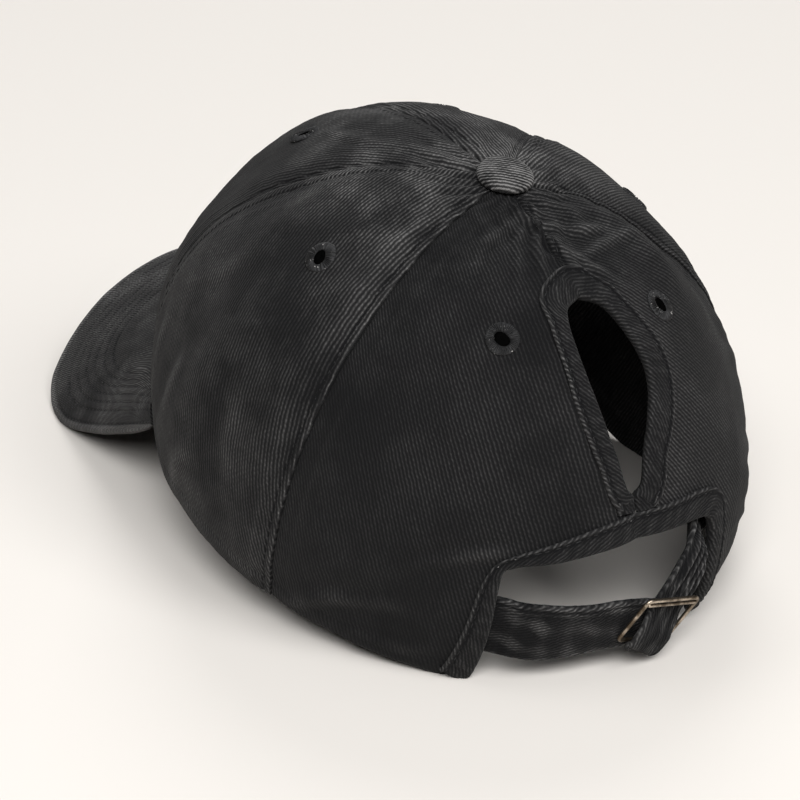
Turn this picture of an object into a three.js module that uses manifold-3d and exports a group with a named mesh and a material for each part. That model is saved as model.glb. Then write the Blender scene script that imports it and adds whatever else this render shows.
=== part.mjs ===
// Ponytail baseball cap: six cloth panels, a curved visor, a folded strip round the ponytail
// opening and round the arch, an adjusting strap and a wire buckle.
// Millimetres. In the cap's own frame the rim lies near z = 0, +Z points to the button, the
// visor points to -Y and the wearer's left is +X. A place on the crown is an angle round the
// cap, 0 at the front and positive to the wearer's left, and a share of the climb from the
// rim (0) to the top (1). One group turns the cap to the pose in which it rests on a table.
import * as THREE from "three";
import Module from "manifold-3d";

const wasm = await Module();
wasm.setup();

const degree = Math.PI / 180;

// Crown
const rimHalfLength = 99;
const rimHalfWidth = 80.2;
const crownHeight = 110.2;
const apexSetback = 5.7; // the top lies this far behind the rim's centre
const topHoleLength = 2.6; // length of each panel left off at the top, under the button
const clothThickness = 1.2;
const seamGap = 0.3;
const seamDepth = 1.1;
const seamHalfWidth = 6;
const seamFade = 0.1; // share of the climb over which the valleys run out below the button
const foldDepth = 2.4;
const rimRiseBack = 3.4;
const rimDropFront = 1.1;
const rimRiseVisor = 8; // the visor's arch lifts the front of the rim

// Clearances
const clearance = 0.3; // between two pieces that touch
const stripClearance = 0.45; // between the cloth and the strip folded round its edge

// Ponytail opening, measured along the cloth up the centre of the back
const openingStart = 60.8;
const openingLength = 58.6;
const openingHalfWidth = 11;
const openingStripWidth = 8.6;

// Arch over the strap
const archHeight = 48.5;
const archHalfWidth = 38;
const archStripWidth = 9;

const stripThickness = 0.7; // one layer of a folded strip
const innerLip = 0.75; // width of a strip's inner lip as a share of its outer one

// Visor
const visorHalfWidth = 70.7;
const visorReach = 53; // ahead of the rim
const visorSetback = 38.7; // its rear corners lie this far behind the front of the rim
const visorThickness = 3.2;
const visorCrest = 16.5;
const visorDroop = 56; // from the middle to the side
const visorSlope = 0.614; // fall towards the tip, per millimetre of reach
const visorCamber = 1.6;
const visorHalfAngle = 69.8 * visorHalfWidth / rimHalfWidth; // of the rim that it is sewn to
const visorCorner = { side: 0.7, ahead: 0.483 }; // powers that round its front corners
const visorTail = 0.51; // share of its length over which its edge runs up to its seam's end
const visorTailEnd = 0.92; // how near the edge comes to it
const visorSeamShare = 0.012; // share of the climb at which it is sewn on

// Button and eyelets
const buttonDiameter = 16.6;
const buttonHeight = 4.8;
const eyeletDiameter = 11.6;
const eyeletHole = 3.6;
const eyeletThickness = 0.9;

// Strap, tab and buckle
const strapWidth = 20;
const strapThickness = 2.4;
const tabThickness = 2.2;
const tabWidth = 16;
const tabLength = 50; // of its route down the back
const tabRipple = 0.7;
const wireDiameter = 1.25;
const buckleWidth = 21;
const buckleHeight = 16.5;
const buckleCorner = 1.6;
const buckleTilt = 16; // its top bar falls to the wearer's right
const buckleSwing = 14; // its top bar stands off the strap, over the tab

// Rest pose
const leanAngle = -2.3; // to the wearer's right
const restPress = 0.35; // cloth squashed flat where it rests

// Seams as angles from the front; each panel ends on two of them
const seamAngles = { front: 0, side: 53, rear: 110.8, back: 180 };

// Powers of the dome's profile: a mean, and what the front adds and the back takes away
const domeShape = {
  taper: { mean: 0.828, front: -0.037 },
  climb: { mean: 1.151, front: -0.059 },
  belly: { mean: 0.146, front: 0.013 },
};
const cornerFullness = 0.0075;

// Soft folds of the cloth. angle, wide and slant in degrees, share and tall as shares of the
// climb, depth as a share of foldDepth, inwards when negative. slant turns the fold.
const folds = [
  { angle: 70, share: 0.34, wide: 9, tall: 0.26, slant: 25, depth: -0.9 },
  { angle: 82, share: 0.22, wide: 6, tall: 0.2, slant: 30, depth: 0.6 },
  { angle: 60, share: 0.62, wide: 8, tall: 0.13, slant: -40, depth: -0.7 },
  { angle: 104, share: 0.5, wide: 5, tall: 0.3, slant: 0, depth: 0.5 },
  { angle: 133, share: 0.12, wide: 8, tall: 0.15, slant: 60, depth: -0.8 },
  { angle: 128, share: 0.5, wide: 12, tall: 0.2, slant: 0, depth: -0.5 },
  { angle: 150, share: 0.86, wide: 12, tall: 0.07, slant: 0, depth: -0.7 },
  { angle: -160, share: 0.87, wide: 9, tall: 0.06, slant: 0, depth: -0.8 },
  { angle: -128, share: 0.74, wide: 8, tall: 0.12, slant: 50, depth: 0.9 },
  { angle: -116, share: 0.62, wide: 6, tall: 0.16, slant: 50, depth: -0.7 },
  { angle: -140, share: 0.3, wide: 9, tall: 0.12, slant: -60, depth: 0.6 },
  { angle: -84, share: 0.4, wide: 12, tall: 0.3, slant: 0, depth: -0.6 },
  { angle: 33, share: 0.48, wide: 20, tall: 0.24, slant: 0, depth: -1.5 },
  { angle: -36, share: 0.66, wide: 20, tall: 0.2, slant: 0, depth: -0.7 },
  { angle: -138, share: 0.4, wide: 12, tall: 0.2, slant: 0, depth: -0.5 },
];

// Shifts of the rim: the wearer's right rear corner is tucked in and up, and the cloth beside
// it and along the right side sags to the table. lift and inward as shares of the tuck's
// size, the rest as in the folds.
const tuckSize = 9.5;
const rimShifts = [
  { angle: -152, wide: 17, tall: 0.4, lift: 1, inward: 0.05 },
  { angle: -113, wide: 16, tall: 0.3, lift: -0.62, inward: -0.1 },
  { angle: -84, wide: 16, tall: 0.42, lift: -1.45, inward: 0 },
];

// Edge of the arch up one side of the centre line: x as a share of archHalfWidth, up as a
// share of archHeight, strip as a share of archStripWidth.
const archEdge = {
  left: [
    { x: 1.03, up: 0, strip: 0.85 },
    { x: 1.02, up: 0.35, strip: 0.7 },
    { x: 1.0, up: 0.72, strip: 0.42 },
    { x: 0.965, up: 0.83, strip: 0.24 },
    { x: 0.88, up: 0.87, strip: 0.3 },
    { x: 0.6, up: 0.915, strip: 0.56 },
    { x: 0.3, up: 0.965, strip: 0.7 },
    { x: 0, up: 1, strip: 0.75 },
  ],
  right: [
    { x: 0.8, up: 0, strip: 0.5 },
    { x: 0.79, up: 0.4, strip: 0.5 },
    { x: 0.77, up: 0.8, strip: 0.62 },
    { x: 0.72, up: 0.92, strip: 0.86 },
    { x: 0.61, up: 0.965, strip: 0.84 },
    { x: 0.4, up: 0.99, strip: 0.78 },
    { x: 0.2, up: 1.0, strip: 0.76 },
    { x: 0, up: 1, strip: 0.75 },
  ],
};

// Edge of the ponytail opening: up as a share of its length, left and right as shares of
// openingHalfWidth, leftStrip and rightStrip as shares of openingStripWidth. The last row is
// its crest.
const openingEdge = [
  { up: 0.039, left: 0.2, right: 0.25, leftStrip: 0.62, rightStrip: 0.68 },
  { up: 0.184, left: 0.37, right: 0.45, leftStrip: 0.63, rightStrip: 0.7 },
  { up: 0.339, left: 0.52, right: 0.8, leftStrip: 0.66, rightStrip: 0.8 },
  { up: 0.485, left: 0.62, right: 1.08, leftStrip: 0.645, rightStrip: 0.78 },
  { up: 0.62, left: 0.68, right: 1.1, leftStrip: 0.55, rightStrip: 0.78 },
  { up: 0.766, left: 0.69, right: 0.89, leftStrip: 0.53, rightStrip: 0.68 },
  { up: 0.88, left: 0.62, right: 0.66, leftStrip: 0.6, rightStrip: 0.6 },
  { up: 0.955, left: 0.44, right: 0.42, leftStrip: 0.95, rightStrip: 0.7 },
  { up: 1, left: 0, right: 0, leftStrip: 1.06, rightStrip: 1.06 },
];

const eyelets = [
  { place: "front", angle: 24.9, share: 0.617 },
  { place: "side", angle: 88, share: 0.645 },
  { place: "back", angle: 147.3, share: 0.675 },
];

// Route of the strap: x as a share of archHalfWidth, up and half as shares of strapWidth for
// the height of its middle and its half width, out as a share of strapThickness.
const strapRoute = [
  { x: 1.2, up: 1.16, half: 0.5, out: -1.56 },
  { x: 1.0, up: 1.14, half: 0.53, out: -1.5 },
  { x: 0.87, up: 1.17, half: 0.51, out: -0.75 },
  { x: 0.7, up: 1.2, half: 0.5, out: -0.1 },
  { x: 0.52, up: 1.21, half: 0.47, out: 0 },
  { x: 0.35, up: 1.23, half: 0.44, out: 0 },
  { x: 0.18, up: 1.25, half: 0.42, out: 0 },
  { x: 0.02, up: 1.22, half: 0.42, out: -0.1 },
  { x: -0.14, up: 1.16, half: 0.39, out: -0.25 },
  { x: -0.3, up: 1.08, half: 0.34, out: -0.45 },
  { x: -0.44, up: 1.02, half: 0.3, out: -0.6 },
];

// Route of the tab: x as a share of archHalfWidth, z as a share of tabLength, half as a share
// of tabWidth, out as a share of strapThickness from the crown's surface, gather as a share of
// tabRipple.
const tabRoute = [
  { x: -0.98, z: 0.86, half: 0.3, out: -2.7, gather: 0 },
  { x: -0.87, z: 0.87, half: 0.33, out: -2.6, gather: 0.3 },
  { x: -0.76, z: 0.855, half: 0.34, out: -1.9, gather: 0.8 },
  { x: -0.67, z: 0.82, half: 0.34, out: -0.6, gather: 1 },
  { x: -0.585, z: 0.77, half: 0.35, out: 0.4, gather: 1 },
  { x: -0.465, z: 0.69, half: 0.4, out: 0.7, gather: 0.9 },
  { x: -0.345, z: 0.6, half: 0.4, out: 0.86, gather: 0.4 },
  { x: -0.235, z: 0.5, half: 0.48, out: 1.4, gather: 0.3 },
  { x: -0.15, z: 0.415, half: 0.465, out: 2.08, gather: 0.2 },
  { x: -0.115, z: 0.37, half: 0.44, out: 2.08, gather: 0.1 },
  { x: -0.09, z: 0.34, half: 0.4, out: 1.6, gather: 0 },
  { x: -0.08, z: 0.325, half: 0.33, out: 1.2, gather: 0 },
];

// The buckle's middle, in the shares of the tab's route
const buckleCentre = { x: -0.21, z: 0.51, out: 1.34 };

// Facets
const panelColumns = 9;
const panelRows = 13;
const backColumns = 11;
const archSteps = 12;
const slitSteps = 2;
const openingSteps = 13;
const topSteps = 5;
const visorColumns = 26;
const visorRows = 5;
const ringSides = 16;

function cloth(colour, roughness) {
  return new THREE.MeshStandardMaterial({ color: colour, roughness, metalness: 0 });
}

const twill = cloth(0x242425, 0.92);
const stripTwill = cloth(0x29292a, 0.92);
const thread = cloth(0x1b1b1c, 0.8);
const paleBrass = new THREE.MeshStandardMaterial({ color: 0xb8a58c, roughness: 0.35, metalness: 1 });

// Height of the rim at an angle round the cap.
function rimHeight(angle) {
  const c = Math.cos(angle);
  const back = rimRiseBack * ((1 - c) / 2) ** 2;
  const front = rimDropFront * ((1 + c) / 2) ** 2;
  const round = Math.abs(angle) / (visorHalfAngle * degree);
  const arch = round < 1 ? rimRiseVisor * Math.cos(round * Math.PI / 2) ** 2 : 0;
  return back - front + arch;
}

// How far out the dome reaches at a place, as a share of its half width and half length.
function domeReach(angle, share) {
  const c = Math.cos(angle);
  const climb = share * Math.PI / 2;
  const taper = domeShape.taper.mean + domeShape.taper.front * c;
  const belly = domeShape.belly.mean + domeShape.belly.front * c;
  const corner = 1 + cornerFullness * Math.sin(2 * angle) ** 2;
  return Math.cos(climb) ** taper * (1 + belly * Math.sin(2 * climb)) * corner;
}

function domePoint(angle, share) {
  const c = Math.cos(angle);
  const climb = share * Math.PI / 2;
  const reach = domeReach(angle, share);
  const power = domeShape.climb.mean + domeShape.climb.front * c;
  const rim = rimHeight(angle);
  return new THREE.Vector3(
    rimHalfWidth * reach * Math.sin(angle),
    -rimHalfLength * reach * c + apexSetback * (1 - Math.cos(climb)),
    rim + (crownHeight - rim) * Math.sin(climb) ** power,
  );
}

// Outward normal of a surface given by a function of angle and share.
function surfaceNormal(surface, angle, share) {
  const step = 0.004;
  const round = surface(angle + step, share).sub(surface(angle - step, share));
  const low = Math.max(share - step, 0);
  const high = Math.min(share + step, 1);
  const rise = surface(angle, high).sub(surface(angle, low));
  return round.cross(rise).normalize();
}

// Angle between two places round the cap, in degrees, by the short way.
function turn(angle, from) {
  const raw = angle / degree - from;
  return raw - 360 * Math.round(raw / 360);
}

// How far the cloth stands out of the plain dome: valleys at the seams and soft folds.
function relief(angle, share) {
  const radius = rimHalfWidth * domeReach(angle, share);
  let valley = 0;
  for (const seam of Object.values(seamAngles)) {
    for (const side of [1, -1]) {
      const distance = turn(angle, side * seam) * degree * radius;
      valley = Math.max(valley, Math.exp(-((distance / seamHalfWidth) ** 2)));
    }
  }
  let height = -seamDepth * valley * Math.min(1, (1 - share) / seamFade);
  for (const fold of folds) {
    const along = (share - fold.share) / fold.tall;
    const across = (turn(angle, fold.angle) - fold.slant * (share - fold.share)) / fold.wide;
    height += foldDepth * fold.depth * Math.exp(-(along ** 2) - across ** 2);
  }
  return height;
}

function rimShift(angle, share) {
  const shift = new THREE.Vector3();
  for (const row of rimShifts) {
    const near = Math.exp(-((turn(angle, row.angle) / row.wide) ** 2));
    const amount = tuckSize * near * Math.max(0, 1 - share / row.tall) ** 1.5;
    shift.x -= Math.sin(angle) * amount * row.inward;
    shift.y += Math.cos(angle) * amount * row.inward;
    shift.z += amount * row.lift;
  }
  return shift;
}

// The crown's middle surface, with seams, folds and the tucked corner.
function crownPoint(angle, share) {
  const normal = surfaceNormal(domePoint, angle, share);
  const point = domePoint(angle, share).addScaledVector(normal, relief(angle, share));
  return point.add(rimShift(angle, share));
}

// A point that lies a given distance outside the crown's middle surface.
function overCrown(angle, share, lift) {
  const normal = surfaceNormal(crownPoint, angle, share);
  return crownPoint(angle, share).addScaledVector(normal, lift);
}

// Lengths along the cloth from the rim, up the centre of the back.
const backLengths = [0];
const lengthSteps = 200;
for (let i = 1; i <= lengthSteps; i++) {
  const step = domePoint(Math.PI, i / lengthSteps).distanceTo(domePoint(Math.PI, (i - 1) / lengthSteps));
  backLengths.push(backLengths[i - 1] + step);
}
const topShare = shareAt(backLengths[lengthSteps] - topHoleLength);

function shareAt(length) {
  const last = backLengths.findIndex((reached) => reached >= length);
  if (last <= 0) {
    return last === 0 ? 0 : 1;
  }
  const part = (length - backLengths[last - 1]) / (backLengths[last] - backLengths[last - 1]);
  return (last - 1 + part) / lengthSteps;
}

// The place on the back of the crown at x from the centre line and a length up the cloth.
function backPlace(x, up) {
  const share = shareAt(up);
  let angle = Math.PI;
  for (let i = 0; i < 4; i++) {
    const sine = Math.abs(x) / (rimHalfWidth * domeReach(angle, share));
    angle = Math.PI - Math.asin(Math.min(sine, 0.99));
  }
  return { angle: x < 0 ? -angle : angle, share };
}

// The share of the climb at which the crown reaches height z at an angle.
function shareAtHeight(angle, z) {
  const power = domeShape.climb.mean + domeShape.climb.front * Math.cos(angle);
  const rim = rimHeight(angle);
  const climb = Math.max(0, (z - rim) / (crownHeight - rim)) ** (1 / power);
  return Math.asin(Math.min(climb, 1)) / (Math.PI / 2);
}

// The point on the crown at x, z on the back, a distance outside it.
function backPoint(x, z, lift) {
  let angle = Math.PI;
  let share = 0;
  for (let i = 0; i < 5; i++) {
    share = shareAtHeight(angle, z);
    const sine = Math.abs(x) / (rimHalfWidth * domeReach(angle, share));
    angle = Math.PI - Math.asin(Math.min(sine, 0.99));
  }
  const signed = x < 0 ? -angle : angle;
  const normal = surfaceNormal(domePoint, signed, share);
  return domePoint(signed, share).addScaledVector(normal, lift);
}

// Points at even distances along a smooth curve through rows of { x, up, strip }.
function evenRows(rows, steps) {
  const curve = new THREE.CatmullRomCurve3(rows.map((row) => new THREE.Vector3(row.x, row.up, row.strip)));
  return curve.getSpacedPoints(steps).map((point) => ({ x: point.x, up: point.y, strip: point.z }));
}

// Where the visor's middle surface is sewn on, at an angle round the cap.
function visorSeam(angle) {
  return overCrown(angle, visorSeamShare, clothThickness / 2 + clearance);
}

// The visor's free edge, at even distances: a rounded front, corners that droop to the table
// and tails that run up to the ends of its seam.
function visorEdge(count) {
  const dense = [];
  const half = 120;
  for (let i = -half; i <= half; i++) {
    const round = i / half * Math.PI / 2;
    const x = Math.sign(round) * Math.abs(Math.sin(round)) ** visorCorner.side;
    const ahead = Math.max(Math.cos(round), 0) ** visorCorner.ahead;
    const y = -(rimHalfLength - visorSetback + (visorSetback + visorReach) * ahead);
    const droop = visorDroop * Math.abs(x) ** 2.08;
    const pushed = Math.max(-x, 0) * 2 * visorHalfWidth * Math.sin(-leanAngle * degree) * Math.abs(x);
    const z = visorCrest - droop - visorSlope * (-y - rimHalfLength) + pushed;
    const tail = visorTailEnd * THREE.MathUtils.smoothstep(visorTail - ahead, 0, visorTail);
    const seamEnd = visorSeam(Math.sign(round) * visorHalfAngle * degree);
    dense.push(new THREE.Vector3(x * visorHalfWidth, y, z).lerp(seamEnd, tail));
  }
  const lengths = [0];
  for (let i = 1; i < dense.length; i++) {
    lengths.push(lengths[i - 1] + dense[i].distanceTo(dense[i - 1]));
  }
  const total = lengths[lengths.length - 1];
  const even = [];
  for (let i = 0; i <= count; i++) {
    const wanted = total * i / count;
    const next = Math.max(1, lengths.findIndex((reached) => reached >= wanted - 1e-9));
    const part = (wanted - lengths[next - 1]) / (lengths[next] - lengths[next - 1]);
    even.push(dense[next - 1].clone().lerp(dense[next], part));
  }
  return even;
}

function visorAngle(column) {
  return (2 * column / visorColumns - 1) * visorHalfAngle * degree;
}

// The visor's upper and lower surfaces, before it rests on anything.
function visorWalls() {
  const middle = visorEdge(visorColumns).map((edge, i) => {
    const inner = visorSeam(visorAngle(i));
    const camber = visorCamber * Math.min(1, 2 * inner.distanceTo(edge) / visorReach);
    const row = [];
    for (let j = 0; j <= visorRows; j++) {
      const point = inner.clone().lerp(edge, j / visorRows);
      point.z += camber * Math.sin(Math.PI * j / visorRows);
      row.push(point);
    }
    return row;
  });
  const wall = (lift) => middle.map((row, i) => row.map((point, j) => {
    const left = middle[Math.max(i - 1, 0)][j];
    const right = middle[Math.min(i + 1, visorColumns)][j];
    const near = row[Math.max(j - 1, 0)];
    const far = row[Math.min(j + 1, visorRows)];
    const normal = far.clone().sub(near).cross(right.clone().sub(left)).normalize();
    if (point.distanceTo(row[0]) < visorThickness) {
      // the sewn edge keeps out of the crown
      const side = Math.sign(lift);
      const crownNormal = surfaceNormal(crownPoint, visorAngle(i), visorSeamShare);
      normal.addScaledVector(crownNormal, side * Math.max(0, -side * normal.dot(crownNormal)));
    }
    const thinned = Math.min(1, 0.4 + row[0].distanceTo(row[visorRows]) / visorReach * 2.5);
    return point.clone().addScaledVector(normal, lift * thinned);
  }));
  return { top: wall(visorThickness / 2), bottom: wall(-visorThickness / 2) };
}

// Rest pose: the pitch at which the visor's corners and the left rear corner of the rim
// both touch the table, and the lift that puts them on it.
const visorLowPoints = visorWalls().bottom.flat();
const rearLowPoints = [];
for (let angle = 120; angle <= 150; angle += 5) {
  rearLowPoints.push(crownPoint(angle * degree, 0));
}

function poseTurn(pitch) {
  const lean = new THREE.Quaternion().setFromAxisAngle(new THREE.Vector3(0, 1, 0), leanAngle * degree);
  const tip = new THREE.Quaternion().setFromAxisAngle(new THREE.Vector3(1, 0, 0), pitch);
  return lean.multiply(tip);
}

function lowest(points, rotation) {
  return Math.min(...points.map((point) => point.clone().applyQuaternion(rotation).z));
}

let steep = -25 * degree;
let shallow = 0;
for (let i = 0; i < 40; i++) {
  const middle = (steep + shallow) / 2;
  const rotation = poseTurn(middle);
  if (lowest(visorLowPoints, rotation) > lowest(rearLowPoints, rotation)) {
    steep = middle;
  } else {
    shallow = middle;
  }
}
const restRotation = poseTurn((steep + shallow) / 2);
const restLift = -lowest(visorLowPoints, restRotation) - restPress;
const worldUp = new THREE.Vector3(0, 0, 1).applyQuaternion(restRotation.clone().invert());

// Lifts a point that would lie below the table up to it.
function settle(point) {
  const height = point.dot(worldUp) + restLift;
  if (height < 0) {
    point.addScaledVector(worldUp, -height);
  }
  return point;
}

// A closed mesh from indexed points; turned right side out by the sign of its volume.
function closedGeometry(points, faces) {
  let volume = 0;
  for (const [a, b, c] of faces) {
    volume += points[a].dot(new THREE.Vector3().crossVectors(points[b], points[c]));
  }
  const index = faces.flatMap(([a, b, c]) => (volume > 0 ? [a, b, c] : [a, c, b]));
  const geometry = new THREE.BufferGeometry();
  const positions = points.flatMap((point) => [point.x, point.y, point.z]);
  geometry.setAttribute("position", new THREE.Float32BufferAttribute(positions, 3));
  geometry.setIndex(index);
  geometry.computeVertexNormals();
  return geometry;
}

// A wall between two grids of the same size.
function wallGeometry(outer, inner) {
  const columns = outer.length;
  const rows = outer[0].length;
  const points = [...outer.flat(), ...inner.flat()];
  const at = (layer, i, j) => layer * columns * rows + i * rows + j;
  const faces = [];
  const quad = (a, b, c, d) => {
    const straight = points[a].distanceTo(points[c]) <= points[b].distanceTo(points[d]);
    faces.push(...(straight ? [[a, b, c], [a, c, d]] : [[a, b, d], [b, c, d]]));
  };
  for (let i = 0; i + 1 < columns; i++) {
    for (let j = 0; j + 1 < rows; j++) {
      quad(at(0, i, j), at(0, i + 1, j), at(0, i + 1, j + 1), at(0, i, j + 1));
      quad(at(1, i, j), at(1, i, j + 1), at(1, i + 1, j + 1), at(1, i + 1, j));
    }
  }
  for (let i = 0; i + 1 < columns; i++) {
    quad(at(1, i, 0), at(1, i + 1, 0), at(0, i + 1, 0), at(0, i, 0));
    quad(at(0, i, rows - 1), at(0, i + 1, rows - 1), at(1, i + 1, rows - 1), at(1, i, rows - 1));
  }
  for (let j = 0; j + 1 < rows; j++) {
    quad(at(0, 0, j), at(0, 0, j + 1), at(1, 0, j + 1), at(1, 0, j));
    quad(at(1, columns - 1, j), at(1, columns - 1, j + 1), at(0, columns - 1, j + 1), at(0, columns - 1, j));
  }
  return closedGeometry(points, faces);
}

// A solid through sections of the same outline; closed rings have no end faces.
function loftGeometry(sections, outline, ring) {
  const sides = outline.length;
  const points = sections.flat();
  const faces = [];
  const last = ring ? sections.length : sections.length - 1;
  for (let i = 0; i < last; i++) {
    const next = (i + 1) % sections.length;
    for (let j = 0; j < sides; j++) {
      const side = (j + 1) % sides;
      faces.push([i * sides + j, i * sides + side, next * sides + side]);
      faces.push([i * sides + j, next * sides + side, next * sides + j]);
    }
  }
  if (!ring) {
    const end = (sections.length - 1) * sides;
    const contour = outline.map(([x, y]) => new THREE.Vector2(x, y));
    for (const [a, b, c] of THREE.ShapeUtils.triangulateShape(contour, [])) {
      const forward = THREE.ShapeUtils.area(contour) > 0;
      faces.push(forward ? [a, c, b] : [a, b, c]);
      faces.push(forward ? [end + a, end + b, end + c] : [end + a, end + c, end + b]);
    }
  }
  return closedGeometry(points, faces);
}

function asSolid(geometry) {
  const vertProperties = new Float32Array(geometry.attributes.position.array);
  const triVerts = new Uint32Array(geometry.index.array);
  return new wasm.Manifold(new wasm.Mesh({ numProp: 3, vertProperties, triVerts }));
}

function asGeometry(solid) {
  const mesh = solid.getMesh();
  const geometry = new THREE.BufferGeometry();
  geometry.setAttribute("position", new THREE.BufferAttribute(mesh.vertProperties, 3));
  geometry.setIndex(new THREE.BufferAttribute(mesh.triVerts, 1));
  geometry.computeVertexNormals();
  return geometry;
}

// A closed, merged cylinder along local Z as an indexed geometry.
function rodGeometry(radius, length, sides, place) {
  const outline = [];
  for (let i = 0; i < sides; i++) {
    const round = 2 * Math.PI * i / sides;
    outline.push([radius * Math.cos(round), radius * Math.sin(round)]);
  }
  const sections = [-length / 2, length / 2].map((z) =>
    outline.map(([x, y]) => new THREE.Vector3(x, y, z).applyMatrix4(place)));
  return loftGeometry(sections, outline, false);
}

// The place of a small piece on the crown: its Z is the outward normal.
function crownFrame(angle, share, lift) {
  const normal = surfaceNormal(domePoint, angle, share);
  const rotation = new THREE.Quaternion().setFromUnitVectors(new THREE.Vector3(0, 0, 1), normal);
  const position = overCrown(angle, share, lift);
  return new THREE.Matrix4().compose(position, rotation, new THREE.Vector3(1, 1, 1));
}

// Column positions across a panel, closer together beside its seams.
function columnShare(step, columns) {
  const even = step / columns;
  return even - 0.09 * Math.sin(2 * Math.PI * even);
}

// A panel between two seams.
function panelGeometry(fromAngle, toAngle) {
  const grids = [clothThickness / 2, -clothThickness / 2].map((lift) => {
    const grid = [];
    for (let i = 0; i <= panelColumns; i++) {
      const across = columnShare(i, panelColumns);
      const row = [];
      for (let j = 0; j <= panelRows; j++) {
        const share = topShare * j / panelRows;
        const radius = rimHalfWidth * domeReach(fromAngle * degree, share);
        const inset = seamGap / 2 / radius;
        const start = fromAngle * degree + inset;
        const end = toAngle * degree - inset;
        row.push(settle(overCrown(start + (end - start) * across, share, lift)));
      }
      grid.push(row);
    }
    return grid;
  });
  return wallGeometry(grids[0], grids[1]);
}

// The cut edge of a back panel, from the rim up to the top: beside the arch, up the slit,
// round the ponytail opening and along the centre seam.
const foldSetback = stripClearance + stripThickness;
const slitHalfWidth = foldSetback + seamGap / 2;

function cutEdge(side) {
  const sign = side === "left" ? 1 : -1;
  const arch = evenRows(archEdge[side].map((row) => ({
    x: row.x * archHalfWidth + foldSetback * Math.min(1, (1.02 - row.up) * 6),
    up: row.up * archHeight + foldSetback * row.up ** 2,
    strip: row.strip * archStripWidth,
  })), archSteps);
  arch[arch.length - 1].x = slitHalfWidth;
  const slit = [];
  for (let i = 1; i <= slitSteps; i++) {
    const up = THREE.MathUtils.lerp(archHeight + foldSetback, openingStart, i / (slitSteps + 1));
    slit.push({ x: slitHalfWidth, up, strip: openingEdge[0][`${side}Strip`] * openingStripWidth });
  }
  const sides = openingEdge.map((row) => ({
    x: row[side] * openingHalfWidth + foldSetback,
    up: openingStart + row.up * openingLength,
    strip: row[`${side}Strip`] * openingStripWidth,
  }));
  const bottom = { x: slitHalfWidth, up: openingStart, strip: sides[0].strip };
  const crest = sides.pop();
  crest.x = seamGap / 2;
  crest.up += foldSetback;
  const opening = evenRows([bottom, ...sides, crest], openingSteps);
  const seam = [];
  for (let i = 1; i <= topSteps; i++) {
    const up = THREE.MathUtils.lerp(crest.up, backLengths[lengthSteps] - topHoleLength, i / topSteps);
    seam.push({ x: seamGap / 2, up, strip: 0 });
  }
  const place = (row) => ({ ...backPlace(sign * row.x, row.up), strip: row.strip });
  return {
    arch: arch.map(place),
    slit: slit.map(place),
    opening: opening.map(place),
    seam: seam.map(place),
  };
}

const cutEdges = { left: cutEdge("left"), right: cutEdge("right") };

// A back panel, ruled from its side seam to its cut edge.
function backPanelGeometry(side) {
  const sign = side === "left" ? 1 : -1;
  const edges = cutEdges[side];
  const edge = [...edges.arch, ...edges.slit, ...edges.opening, ...edges.seam];
  const reached = [0];
  for (let j = 1; j < edge.length; j++) {
    const from = domePoint(edge[j - 1].angle, edge[j - 1].share);
    reached.push(reached[j - 1] + from.distanceTo(domePoint(edge[j].angle, edge[j].share)));
  }
  const total = reached[reached.length - 1];
  const grids = [clothThickness / 2, -clothThickness / 2].map((lift) => {
    const grid = [];
    for (let i = 0; i <= backColumns; i++) {
      const across = columnShare(i, backColumns);
      grid.push(edge.map((place, j) => {
        const share = topShare * reached[j] / total;
        const radius = rimHalfWidth * domeReach(seamAngles.rear * degree, share);
        const start = sign * (seamAngles.rear * degree + seamGap / 2 / radius);
        const angle = THREE.MathUtils.lerp(start, place.angle, across);
        return settle(overCrown(angle, THREE.MathUtils.lerp(share, place.share, across), lift));
      }));
    }
    return grid;
  });
  return wallGeometry(grids[0], grids[1]);
}

// Drills the hole of an eyelet through a panel.
function drilled(geometry, angle, share) {
  const hole = rodGeometry(eyeletHole / 2 + clearance, 10 * clothThickness, 12, crownFrame(angle, share, 0));
  return asGeometry(asSolid(geometry).subtract(asSolid(hole)));
}

// Changes of angle and share for a millimetre along a direction in the dome's surface.
function surfaceStep(place, direction) {
  const step = 0.002;
  const here = domePoint(place.angle, place.share);
  const round = domePoint(place.angle + step, place.share).sub(here).divideScalar(step);
  const rise = domePoint(place.angle, place.share + step).sub(here).divideScalar(step);
  const mixed = round.dot(rise);
  const area = round.dot(round) * rise.dot(rise) - mixed * mixed;
  const alongRound = round.dot(direction);
  const alongRise = rise.dot(direction);
  return {
    angle: (alongRound * rise.dot(rise) - alongRise * mixed) / area,
    share: (alongRise * round.dot(round) - alongRound * mixed) / area,
  };
}

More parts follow.
